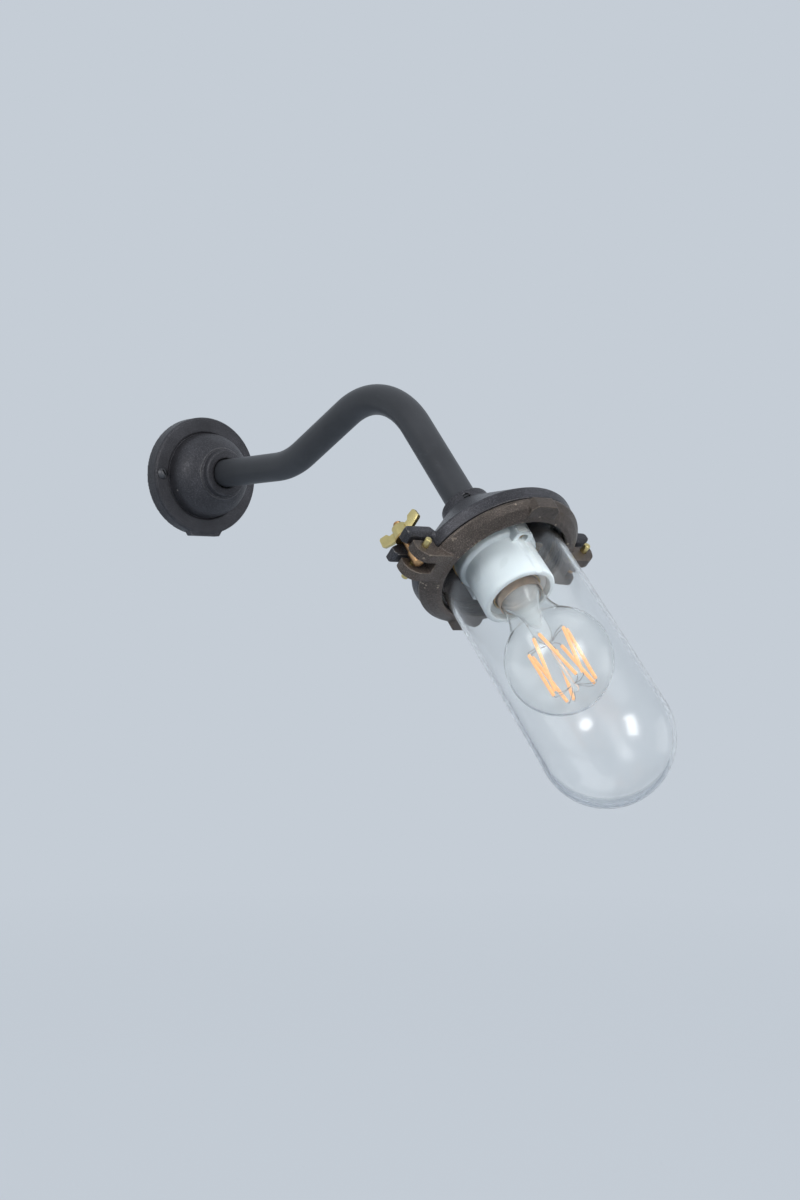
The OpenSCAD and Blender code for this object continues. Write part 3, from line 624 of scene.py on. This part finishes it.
def ring_tree(name):
    """Sets copies of a piece in a ring about the z axis, every second one leaning the other way."""
    numbers = (("Count", "Int", 8), ("Radius", "Float", 0.013), ("Lean", "Float", 0.18))
    tree, n, link, entry, real = new_tree(name, numbers)
    circle = n.new("GeometryNodeMeshCircle")
    link(entry.outputs["Count"], circle.inputs["Vertices"])
    link(entry.outputs["Radius"], circle.inputs["Radius"])
    index = n.new("GeometryNodeInputIndex")

    def calc(kind, a, b):
        node = n.new("ShaderNodeMath")
        node.operation = kind
        for i, value in enumerate((a, b)):
            if isinstance(value, (int, float)):
                node.inputs[i].default_value = value
            else:
                link(value, node.inputs[i])
        return node.outputs[0]

    sign = calc("SUBTRACT", calc("MULTIPLY", calc("MODULO", index.outputs[0], 2.0), 2.0), 1.0)
    lean = calc("MULTIPLY", sign, entry.outputs["Lean"])
    share = calc("DIVIDE", calc("MULTIPLY", index.outputs[0], 2 * math.pi), entry.outputs["Count"])
    tilt = n.new("ShaderNodeCombineXYZ")
    link(lean, tilt.inputs["X"])
    link(share, tilt.inputs["Z"])
    spread = n.new("GeometryNodeInstanceOnPoints")
    link(circle.outputs[0], spread.inputs["Points"])
    link(entry.outputs["Geometry"], spread.inputs["Instance"])
    link(tilt.outputs[0], spread.inputs["Rotation"])
    link(spread.outputs[0], real.inputs[0])
    return tree


def wires(name, paths, radius, sides, finish, place=None):
    """Round wires along lists of points in millimetres, made by the wire tree."""
    curve = bpy.data.curves.new(name, "CURVE")
    curve.dimensions = "3D"
    for path in paths:
        spline = curve.splines.new("POLY")
        spline.points.add(len(path) - 1)
        for point, place_at in zip(spline.points, path):
            point.co = (*((place or Matrix()) @ Vector(place_at) * MM), 1)
    values = {"Radius": radius * MM, "Sides": sides, "Finish": finish}
    return run_tree(new_object(name, curve), wire_tree("Round wire"), values)


# ---------------------------------------------------------------- settings


def colour_setting(name, about, value):
    return FloatVectorProperty(
        name=name, description=about, subtype="COLOR", size=3, default=value, min=0, max=1
    )


def number_setting(name, about, value, high, low=0.0):
    return FloatProperty(name=name, description=about, default=value, min=low, max=high)


class LIGHT_PG_metal(bpy.types.PropertyGroup):
    cast_colour: colour_setting("Cast iron", "Colour of the plate and cap", (0.058, 0.057, 0.063))
    ring_colour: colour_setting("Clamp ring", "Browned colour of the clamp ring", (0.108, 0.088, 0.075))
    # The edge colour is partly a painted highlight on the castings' edges.
    wear_and_highlight_colour: colour_setting("Worn and highlighted edges", "Colour of the rubbed edges and their painted highlight", (0.34, 0.32, 0.30))
    tube_colour: colour_setting("Tube", "Colour of the swan neck", (0.043, 0.045, 0.050))
    brass_colour: colour_setting("Brass", "Colour of the wing nuts", (0.80, 0.66, 0.30))
    voxel: number_setting("Casting grid", "Grid that the castings are softened on, in mm", 0.52, 2.0, 0.3)


class LIGHT_PG_glass(bpy.types.PropertyGroup):
    glass_colour: colour_setting("Glass", "Tint of the well glass", (0.985, 0.995, 0.995))
    ripple: number_setting("Ripple", "Depth of the glass's ripples, in millimetres", 0.05, 2.0)
    glow: number_setting("Glow", "Strength of the filaments' light", 0.88, 20.0)
    filament_count: IntProperty(name="Filaments", description="Number of filaments", default=8, min=4, max=10)
    segments: IntProperty(name="Facets", description="Facets round the glass", default=160, min=48, max=256)


class LIGHT_PG_stage(bpy.types.PropertyGroup):
    backdrop: colour_setting("Backdrop", "Colour behind the light", linear(197, 205, 214))
    fill: number_setting("Fill", "Strength of the light from all round", 0.62, 4.0)
    key: number_setting("Key", "Power that the lamps share out, in watts", 12.0, 500.0)


def metal():
    return bpy.context.scene.light_metal


def glazing():
    return bpy.context.scene.light_glass


FINISH = {}


def finish(kind):
    """The named finish, made once."""
    if kind not in FINISH:
        m, g = metal(), glazing()
        cast, ring, wear_and_highlight = tuple(m.cast_colour), tuple(m.ring_colour), tuple(m.wear_and_highlight_colour)
        make = {
            "cast": lambda: cast_finish("Cast iron, dark", cast, wear_and_highlight),
            # Painted light: the cap is the plate's iron made 1.1 times paler, standing for the light on its
            # top.
            "cap": lambda: cast_finish("Cast cap, painted paler for its lit top", toned(cast, 1.10), wear_and_highlight, 0.38, 0.4),
            "ring": lambda: cast_finish("Cast ring, browned", ring, (0.38, 0.31, 0.24), 0.38, 0.4, 1.1),
            "tube": lambda: tube_finish("Tube, satin", tuple(m.tube_colour)),
            "brass": lambda: brass_finish("Brass, polished", tuple(m.brass_colour), 0.22, 0.25),
            "brass_dull": lambda: brass_finish("Brass, turned", (0.62, 0.43, 0.17), 0.30, 0.35, 0.8),
            "copper_thread": lambda: brass_finish("Bolt bronze", (0.66, 0.40, 0.20), 0.30, 0.35, 0.8),
            "zinc": lambda: steel_finish("Zinc plate", (0.52, 0.53, 0.54), 0.30),
            "steel": lambda: steel_finish("Dark steel", (0.13, 0.13, 0.135), 0.40),
            "nickel": lambda: steel_finish("Nickel", (0.66, 0.65, 0.63), 0.22),
            "cap_brass": lambda: steel_finish("Plated brass", (0.74, 0.56, 0.42), 0.28),
            "wire": lambda: wire_finish("Nickel wire"),
            "porcelain": lambda: porcelain_finish("Glazed porcelain", (0.60, 0.655, 0.675)),
            "well": lambda: glass_finish(
                "Well glass", tuple(g.glass_colour), g.ripple, 16, 0.015, 1.12, 0.0, 0.75
            ),
            "bulb": lambda: glass_finish("Bulb glass", (0.985, 0.99, 0.985), 0.10, 26, 0.01, 1.08, 0.0, 0.45),
            "stem": lambda: glass_finish("Stem glass", (0.86, 0.89, 0.90), 0.20, 60, 0.12, 1.20, 0.17, 0.3),
            "filament": lambda: filament_finish("Amber filament", (1.0, 0.50, 0.21), g.glow),
            "rubber": lambda: rubber_finish("Gasket rubber"),
            "block": lambda: plastic_finish("Terminal block", (0.72, 0.68, 0.55), 0.45),
            "brown": lambda: plastic_finish("Brown sheath", (0.13, 0.05, 0.02), 0.4),
            "blue": lambda: plastic_finish("Blue sheath", (0.02, 0.09, 0.35), 0.4),
            "earth": lambda: earth_sheath_finish("Earth sheath"),
            "vitrite": lambda: plastic_finish("Black insulator", (0.02, 0.02, 0.025), 0.12, 300),
        }
        FINISH[kind] = make[kind]()
    return FINISH[kind]


# ---------------------------------------------------------------- pieces


class LIGHT_OT_castings(bpy.types.Operator):
    """Make the wall plate, cap and clamp ring as sand castings with softened edges"""

    bl_idname = "bracket_light.castings"
    bl_label = "Castings"

    def execute(self, context):
        voxel = metal().voxel
        for node, name, grid, kind, body, slot in (
            ("wall_plate", "plate_casting", voxel, "cast", "fixed", "cast_dark"),
            ("cap_casting", "cap_shell_casting", voxel * 1.08, "cap", "fixed", "cast_dark"),
            ("clamp_ring", "clamp_ring_casting", voxel * 0.88, "ring", "glass_unit", "ring_bronze"),
        ):
            finish_piece(cast_copy(node, name, grid), finish(kind), body, node, slot=slot)
        return {"FINISHED"}


class LIGHT_OT_neck(bpy.types.Operator):
    """Bend the swan-neck tube along its path"""

    bl_idname = "bracket_light.neck"
    bl_label = "Swan neck"

    def execute(self, context):
        path = neck_points(NECK_END, TO_FACE + NECK_TIP)
        fine = [path[0]]
        for a, b in zip(path, path[1:]):
            steps = max(1, int((b - a).length // 4))
            fine += [a + (b - a) * k / steps for k in range(1, steps + 1)]
        sides, outer, inner = 64, 9.5, 7.5
        verts, rows = [], []
        across = Vector((1, 0, 0))
        for i, p in enumerate(fine):
            t = (fine[min(i + 1, len(fine) - 1)] - fine[max(i - 1, 0)]).normalized()
            up = across.cross(t).normalized()
            for radius in (outer, inner):
                rows.append(len(verts))
                for j in range(sides):
                    a = 2 * math.pi * j / sides
                    verts.append(p + across * (radius * math.cos(a)) + up * (radius * math.sin(a)))
        bands = list(zip(rows, rows[2:])) + [rows[:2], rows[-2:]]
        faces = []
        for a, b in bands:
            for j in range(sides):
                k = (j + 1) % sides
                faces.append([a + j, a + k, b + k, b + j])
        tube = new_piece("swan_neck_tube", verts, faces, Matrix(), 50)
        finish_piece(tube, finish("tube"), "fixed", "swan_neck", slot="tube_paint")
        return {"FINISHED"}


class LIGHT_OT_hardware(bpy.types.Operator):
    """Dress the screws, nuts, washers, pins, bracket and terminals"""

    bl_idname = "bracket_light.hardware"
    bl_label = "Hardware"

    def execute(self, context):
        plan = (
            ("wall_screws", "slotted_wall_screws", "steel", "fixed", 0.22, "steel_dark"),
            ("neck_set_screw", "plate_grub_screw", "steel", "fixed", 0.1, "steel_dark"),
            ("cap_set_screw", "cap_grub_screw", "steel", "fixed", 0.1, "steel_dark"),
            ("neck_locknut", "plate_locknut", "zinc", "fixed", 0.3, "zinc"),
            ("cap_locknut", "cap_tube_locknut", "zinc", "fixed", 0.3, "zinc"),
            ("terminal_block_screw", "block_screw", "zinc", "fixed", 0.12, "zinc"),
            ("terminal_sleeves", "block_sleeves", "brass_dull", "fixed", 0.1, "brass_dull"),
            ("terminal_screws", "block_terminal_screws", "zinc", "fixed", 0.1, "zinc"),
            ("earth_screw", "earth_stud_screw", "brass_dull", "fixed", 0.15, "brass_dull"),
            ("terminal_block", "terminal_strip", "block", "fixed", 0.3, "block_plastic"),
            ("holder_bracket", "holder_carrier_plate", "brass_dull", "fixed", 0.2, "brass_dull"),
            ("bracket_screws", "carrier_screws", "brass_dull", "fixed", 0.2, "brass_dull"),
            ("holder_screws", "lampholder_screws", "brass_dull", "fixed", 0.15, "brass_dull"),
            ("centre_contact", "lampholder_contact", "brass_dull", "fixed", 0.1, "brass_dull"),
            ("holder_terminals", "lampholder_terminals", "brass_dull", "fixed", 0.1, "brass_dull"),
            ("cap_gasket", "upper_gasket", "rubber", "fixed", 0.3, "gasket_rubber"),
            ("ring_gasket", "lower_gasket", "rubber", "glass_unit", 0.3, "gasket_rubber"),
            ("hinge_pins", "swing_bolt_pins", "brass", "glass_unit", 0.7, "brass_dull"),
            ("left_washer", "left_bolt_washer", "brass_dull", "left_slider", 0.2, "brass_dull"),
            ("right_washer", "right_bolt_washer", "brass_dull", "right_slider", 0.2, "brass_dull"),
            ("left_wing_nut", "left_wing_nut_cast", "brass", "left_nut", 0.45, "brass_bright"),
            ("right_wing_nut", "right_wing_nut_cast", "brass", "right_nut", 0.45, "brass_bright"),
        )
        for node, name, kind, body, bevel, slot in plan:
            piece = machined_copy(node, name, bevel)
            if node == "wall_screws":
                wide, deep, long, out, slot_height = 1.35, 1.1, 9, 35, PLATE_T + 1.9
                turn = Matrix.Rotation(math.radians(-58), 4, "Z")
                heads = [WALL @ Matrix.Translation((s * out, 0, slot_height)) @ turn for s in (-1, 1)]
                slot_cut(piece, wide, deep, long, heads)
                shade(piece, 30)
            finish_piece(piece, finish(kind), body, node, slot=slot)
        return {"FINISHED"}


class LIGHT_OT_swing_bolts(bpy.types.Operator):
    """Cut the threaded swing bolts and drill them for their pins"""

    bl_idname = "bracket_light.swing_bolts"
    bl_label = "Swing bolts"

    def execute(self, context):
        tip, r, pitch, boss, pin_r, out = -27.0, 2.5, 0.8, 3.3, 2.05, 59.0
        chamfer, plain, step = 0.6, -6.0, 0.1
        thread = threaded(2, tip + 0.3, plain - 0.2, 0.36, pitch, 0.5, 1.2)
        heights = [tip + chamfer + step * i for i in range(int((plain - tip - chamfer) / step) + 1)]
        outline = (
            [(0, tip), (r - chamfer, tip)]
            + [(r, z) for z in heights]
            + [(r, plain + 0.6), (boss, plain + 1.4)]
            + arc(boss - 1.6, 2.6, 1.6, 0, 75, 6)
            + [(0, 4.4)]
        )
        for side, body, node in ((-1, "left_bolt", "left_swing_bolt"), (1, "right_bolt", "right_swing_bolt")):
            place = HEAD @ Matrix.Translation((side * out, 0, 1.0))
            across = place @ Matrix.Rotation(math.pi / 2, 4, "X")
            bolt = lathe(node + "_turned", outline, place, 40, 40, thread)
            carve(bolt, lathe("pin_drill", [(0, -8), (pin_r, -8), (pin_r, 8), (0, 8)], across, 40))
            shade(bolt, 40)
            finish_piece(bolt, finish("copper_thread"), body, node, slot="brass_dull")
        return {"FINISHED"}


class LIGHT_OT_leads(bpy.types.Operator):
    """Run the three leads from behind the plate through the neck to the lampholder"""

    bl_idname = "bracket_light.leads"
    bl_label = "Leads"

    def execute(self, context):
        terminals, mouth, radius = -19.55, NECK_TIP + 2.2, 1.1
        plans = (
            ("live_lead", "brown", "brown_sheath", 3.2, -2.2,
             [(7.6, -13.4, 7), (7.6, -9.5, 7), (4.2, -4.5, 8.5)],
             [(6, -4, mouth), (10, 0, terminals)]),
            ("neutral_lead", "blue", "blue_sheath", -3.2, -2.2,
             [(-7.6, -13.4, 7), (-7.6, -9.5, 7), (-4.2, -4.5, 8.5)],
             [(-6, -4, mouth), (-10, 0, terminals)]),
            ("earth_lead", "earth", "earth_sheath", 0.0, 3.2,
             [(0, 15.3, 8.9), (0, 11, 9)],
             [(0, 9, mouth), (15.6, 15.6, -19), (15.6, 15.6, -8.7)]),
        )
        for node, kind, slot, side, up, wall_points, head_points in plans:
            start = [WALL @ Vector(p) for p in wall_points]
            end = [HEAD @ Vector(p) for p in head_points]
            neck = neck_points(NECK_END - 2, TO_FACE + NECK_TIP + 1, side, up)
            piece = wires(node + "_sheath", [rounded(start + neck + end, 3)], radius, 16, finish(kind))
            finish_piece(piece, None, "fixed", node, slot=slot)
        return {"FINISHED"}


class LIGHT_OT_lampholder(bpy.types.Operator):
    """Glaze the porcelain lampholder and press its threaded shell"""

    bl_idname = "bracket_light.lampholder"
    bl_label = "Lampholder"

    def execute(self, context):
        body = machined_copy("lampholder_body", "lampholder_porcelain", 0.5)
        ear, ear_height = 27.0, 0.4
        for side in (-1, 1):
            groove_cut(body, 8.6, 9.0, 0.55, 0.6, HEAD @ Matrix.Translation((0, side * ear, ear_height)))
        shade(body, 30)
        finish_piece(body, finish("porcelain"), "fixed", "lampholder_body", slot="porcelain")

        low, high, r, wall, hole = 25.4, 6.1, 14.3, 0.4, 9.0
        outer = [(r, z) for z in evenly(low, high, 60)]
        inner = [(x - wall, z) for x, z in outer]
        profile = inner + [(hole, high), (hole, high - wall), (r, high - wall)] + outer[::-1]
        thread = threaded(13, high, low, 0.34, E27_PITCH, 1.2, 1.2)
        shell = lathe("threaded_shell", profile, HEAD, 96, 50, thread)
        finish_piece(shell, finish("brass_dull"), "fixed", "holder_shell", slot="brass_dull")
        return {"FINISHED"}


class LIGHT_OT_well_glass(bpy.types.Operator):
    """Blow the round-ended well glass with its flange"""

    bl_idname = "bracket_light.well_glass"
    bl_label = "Well glass"

    def execute(self, context):
        outer, inner, length, top, foot, flange = 37.3, 34.9, 131.4, 0.2, 5.2, 43.4
        low, lip = foot + 2.2, top + 1.2
        wall = [(outer, z) for z in evenly(low, length, 20)[:-1]]
        bore = [(inner, z) for z in evenly(length, lip, 20)[1:-1]]
        rim = [(inner, lip), (inner + 0.5, top), (flange, top), (flange, foot), (outer, foot), wall[0]]
        profile = (
            rounded(rim, 1.0, 5)
            + wall[1:]
            + arc(0, length, outer, 0, 90, 40)
            + arc(0, length, inner, 90, 0, 40)
            + bore
        )
        glass = lathe("well_glass_blown", profile, HEAD, glazing().segments, 60)
        glass.visible_shadow = False
        finish_piece(glass, finish("well"), "glass_unit", "well_glass", slot="clear_glass")
        return {"FINISHED"}


class LIGHT_OT_bulb(bpy.types.Operator):
    """Make the bulb: glass, screw cap, insulator, contact, stem, filaments and wires"""

    bl_idname = "bracket_light.bulb"
    bl_label = "Bulb"

    def execute(self, context):
        rim, centre, big, neck = 29.8, 77.0, 30.3, 12.6
        foot, start = rim + 1.4, rim + 4.7
        run = centre - start
        flare = (run * run + neck * neck - big * big) / (2 * (big - neck))
        turn = math.degrees(math.atan2(run, neck + flare))

        def skin(inset):
            return (
                [(neck - inset, foot - 3.2), (neck - inset, foot - 1.5)]
                + arc(neck + flare, start, flare + inset, 180, 180 - turn, 24)
                + arc(0, centre, big - inset, -turn, 90, 48)[1:]
            )

        glass = lathe("bulb_envelope", skin(0) + skin(0.9)[::-1], HEAD, 128, 60)
        glass.visible_shadow = False
        finish_piece(glass, finish("bulb"), "bulb", "bulb_glass", slot="bulb_clear")

        top, low, skirt, wall = foot - 23.5, foot - 4.2, 13.25, 0.35
        high = top + 2.4
        crest = [(13.1, z) for z in evenly(low, high, 72)]
        outside = [(skirt, foot), (skirt, foot - 3.4)] + crest + [(12.2, top + 1.2), (10.6, top)]
        inside = [(r - wall, z + (wall if z < top + 2 else 0)) for r, z in outside]
        thread = threaded(12.5, high, low, 0.45, E27_PITCH, 1.0, 1.0)
        cap = lathe("bulb_screw_cap_rolled", outside + inside[::-1], HEAD, 96, 50, thread)
        finish_piece(cap, finish("cap_brass"), "bulb", "bulb_screw_cap", slot="nickel")

        for node, kind, slot, bevel in (
            ("bulb_insulator", "vitrite", "black_glass", 0.25),
            ("bulb_contact", "nickel", "nickel", 0.2),
        ):
            piece = machined_copy(node, node + "_dressed", bevel)
            finish_piece(piece, finish(kind), "bulb_foot", node, slot=slot)

        mid, half = centre + 2.5, 17.0
        first, last = mid - half, mid + half
        flared = [(11.55, foot - 1), (10.4, foot + 1.8), (7.2, foot + 7), (5.6, foot + 14)]
        shaft = [(5.1, first - 5), (4.0, first - 1), (1.5, first + 2), (1.3, last - 2)]
        bead = [(2.1, last - 0.6), (2.3, last + 0.4), (1.4, last + 1.6), (0, last + 2)]
        hollow = [(0, first - 9), (1.6, first - 10), (3.6, foot + 16), (6.0, foot + 8), (9.6, foot + 1.2)]
        hollow.append((10.9, foot - 1))
        piece = lathe("bulb_flare_stem", rounded(flared + shaft, 2.0, 5) + bead + hollow, HEAD, 64, 60)
        piece.visible_shadow = False
        finish_piece(piece, finish("stem"), "bulb", "bulb_stem", slot="bulb_clear")

        count, ring, length, spread = glazing().filament_count, 12.8, 34.0, math.radians(14)
        reach = half - 0.4
        rod = rounded([(0, -reach), (1.0, -reach), (1.0, reach), (0, reach)], 0.5, 3)
        place = HEAD @ Matrix.Translation((0, 0, mid))
        rods = run_tree(lathe("filament_rod", rod, Matrix(), 16, 50), ring_tree("Filament ring"), {
            "Count": count,
            "Radius": ring * math.cos(spread) * MM,
            "Lean": math.atan2(2 * ring * math.sin(spread), length),
            "Finish": finish("filament"),
        })
        rods.data.transform(SCALE @ place @ Matrix.Scale(1000, 4))
        rods.name = "led_filaments"
        shade(rods, 50)
        finish_piece(rods, None, "bulb", "bulb_filaments", slot="glow_filament")

        paths = []
        for i in range(count):
            way = 1 if i % 2 else -1
            for end in (-1, 1):
                a = 2 * math.pi * i / count - way * end * spread
                x, y, z = ring * math.cos(a), ring * math.sin(a), end * (half - 0.6)
                inner = 1.7 if end > 0 else 2.4
                paths.append([
                    (x, y, z), (x * 0.99, y * 0.99, z + end * 1.5),
                    (x * 0.6, y * 0.6, z + end * 1.1), (x / ring * inner, y / ring * inner, z - end * 1.4)])
        piece = wires("filament_supports", [rounded(p, 0.8, 3) for p in paths], 0.2, 8, finish("wire"), place)
        finish_piece(piece, None, "bulb", "bulb_support_wires", slot="nickel")
        return {"FINISHED"}


class LIGHT_OT_stage(bpy.types.Operator):
    """Set up the floor, backdrop, lamps and camera"""

    bl_idname = "bracket_light.stage"
    bl_label = "Stage"

    def execute(self, context):
        scene = context.scene
        setup = scene.light_stage
        pale = (*setup.backdrop, 1)
        scene.view_settings.view_transform = "Standard"

        world = bpy.data.worlds.new("Pale room")
        scene.world = world
        world.use_nodes = True
        tree = world.node_tree
        tree.nodes.clear()
        out = tree.nodes.new("ShaderNodeOutputWorld")
        mix = tree.nodes.new("ShaderNodeMixShader")
        path = tree.nodes.new("ShaderNodeLightPath")
        seen, lit = tree.nodes.new("ShaderNodeBackground"), tree.nodes.new("ShaderNodeBackground")
        seen.inputs[0].default_value = pale
        lit.inputs[0].default_value = pale
        lit.inputs[1].default_value = setup.fill
        tree.links.new(path.outputs["Is Diffuse Ray"], mix.inputs[0])
        tree.links.new(seen.outputs[0], mix.inputs[1])
        tree.links.new(lit.outputs[0], mix.inputs[2])
        tree.links.new(mix.outputs[0], out.inputs[0])

        wide, top, foot = 2600, -620, -621
        disc = [(0, top), (wide, top), (wide, foot), (0, foot)]
        floor = lathe("pale_floor", disc, Matrix.Translation((0, -150, 0)), 96, 30)
        m = Mixer("Pale floor")
        split = m.node("VectorMath")
        split.operation = "LENGTH"
        m.join(m.stretched((1, 1, 0)), split.inputs[0])
        fade = m.span(split.outputs["Value"], 0.9, 2.4)
        m.set(Base_Color=pale, Roughness=0.9)
        glow_share = 0.93  # the rest is the lit floor, which keeps the object's shadow
        first, second = m.node("MixShader"), m.node("MixShader")
        camera_ray = m.node("LightPath").outputs["Is Camera Ray"]
        for a, b in (
            (m.math("MULTIPLY", camera_ray, glow_share), first.inputs[0]),
            (m.bsdf.outputs[0], first.inputs[1]),
            (m.node("Emission", Color=pale).outputs[0], first.inputs[2]),
            (fade, second.inputs[0]),
            (first.outputs[0], second.inputs[1]),
            (m.node("BsdfTransparent").outputs[0], second.inputs[2]),
            (second.outputs[0], m.out.inputs[0]),
        ):
            m.join(a, b)
        floor.data.materials.append(m.mat)

        middle = Vector((0, -0.24, -0.06))
        for name, shape, where, size, power, mirrored in (
            ("front window", "RECTANGLE", (0.05, -2.3, 0.62), (0.62, 1.15), setup.key * 1.5, True),
            ("side lamp", "DISK", (-2.1, -0.75, 0.8), (0.85, 0.85), setup.key * 1.1, True),
            ("overhead", "RECTANGLE", (0.3, -0.6, 2.0), (1.6, 1.6), setup.key * 1.3, False),
            ("right fill", "RECTANGLE", (1.9, -1.2, -0.1), (1.2, 1.2), setup.key * 0.5, False),
        ):
            data = bpy.data.lights.new(name, "AREA")
            data.shape, data.size, data.size_y, data.energy = shape, size[0], size[1], power
            lamp = new_object(name, data)
            lamp.location = where
            lamp.rotation_euler = (middle - Vector(where)).to_track_quat("-Z", "Y").to_euler()
            lamp.visible_glossy = mirrored

        data = bpy.data.cameras.new("Photo view")
        data.sensor_fit, data.sensor_height, data.lens = "VERTICAL", 36.0, 56.194
        data.clip_start, data.clip_end = 0.05, 20
        camera = new_object("Photo view", data)
        camera.location = (-0.69448, -1.13180, -0.10912)
        camera.rotation_euler = (math.pi / 2 + 0.016777, 0, -0.658021)
        scene.camera = camera
        return {"FINISHED"}


class LIGHT_PT_sidebar(bpy.types.Panel):
    """Lists the steps that build the light"""

    bl_label = "Bracket Light"
    bl_idname = "LIGHT_PT_sidebar"
    bl_space_type = "VIEW_3D"
    bl_region_type = "UI"
    bl_category = "Bracket Light"

    def draw(self, context):
        for step in STEPS:
            self.layout.operator(step.bl_idname)
        for group in (context.scene.light_metal, context.scene.light_glass, context.scene.light_stage):
            box = self.layout.box()
            for key in type(group).__annotations__:
                box.prop(group, key)


GROUPS = (LIGHT_PG_metal, LIGHT_PG_glass, LIGHT_PG_stage)
STEPS = (
    LIGHT_OT_stage,
    LIGHT_OT_castings,
    LIGHT_OT_neck,
    LIGHT_OT_hardware,
    LIGHT_OT_swing_bolts,
    LIGHT_OT_leads,
    LIGHT_OT_lampholder,
    LIGHT_OT_well_glass,
    LIGHT_OT_bulb,
)


def register():
    for cls in GROUPS + STEPS + (LIGHT_PT_sidebar,):
        bpy.utils.register_class(cls)
    bpy.types.Scene.light_metal = PointerProperty(type=LIGHT_PG_metal)
    bpy.types.Scene.light_glass = PointerProperty(type=LIGHT_PG_glass)
    bpy.types.Scene.light_stage = PointerProperty(type=LIGHT_PG_stage)


def unregister():
    for key in ("light_metal", "light_glass", "light_stage"):
        delattr(bpy.types.Scene, key)
    for cls in reversed(GROUPS + STEPS + (LIGHT_PT_sidebar,)):
        bpy.utils.unregister_class(cls)


def main():
    register()
    bpy.ops.bracket_light.stage()
    bpy.ops.bracket_light.castings()
    bpy.ops.bracket_light.neck()
    bpy.ops.bracket_light.hardware()
    bpy.ops.bracket_light.swing_bolts()
    bpy.ops.bracket_light.leads()
    bpy.ops.bracket_light.lampholder()
    bpy.ops.bracket_light.well_glass()
    bpy.ops.bracket_light.bulb()


if __name__ == "__main__":
    main()
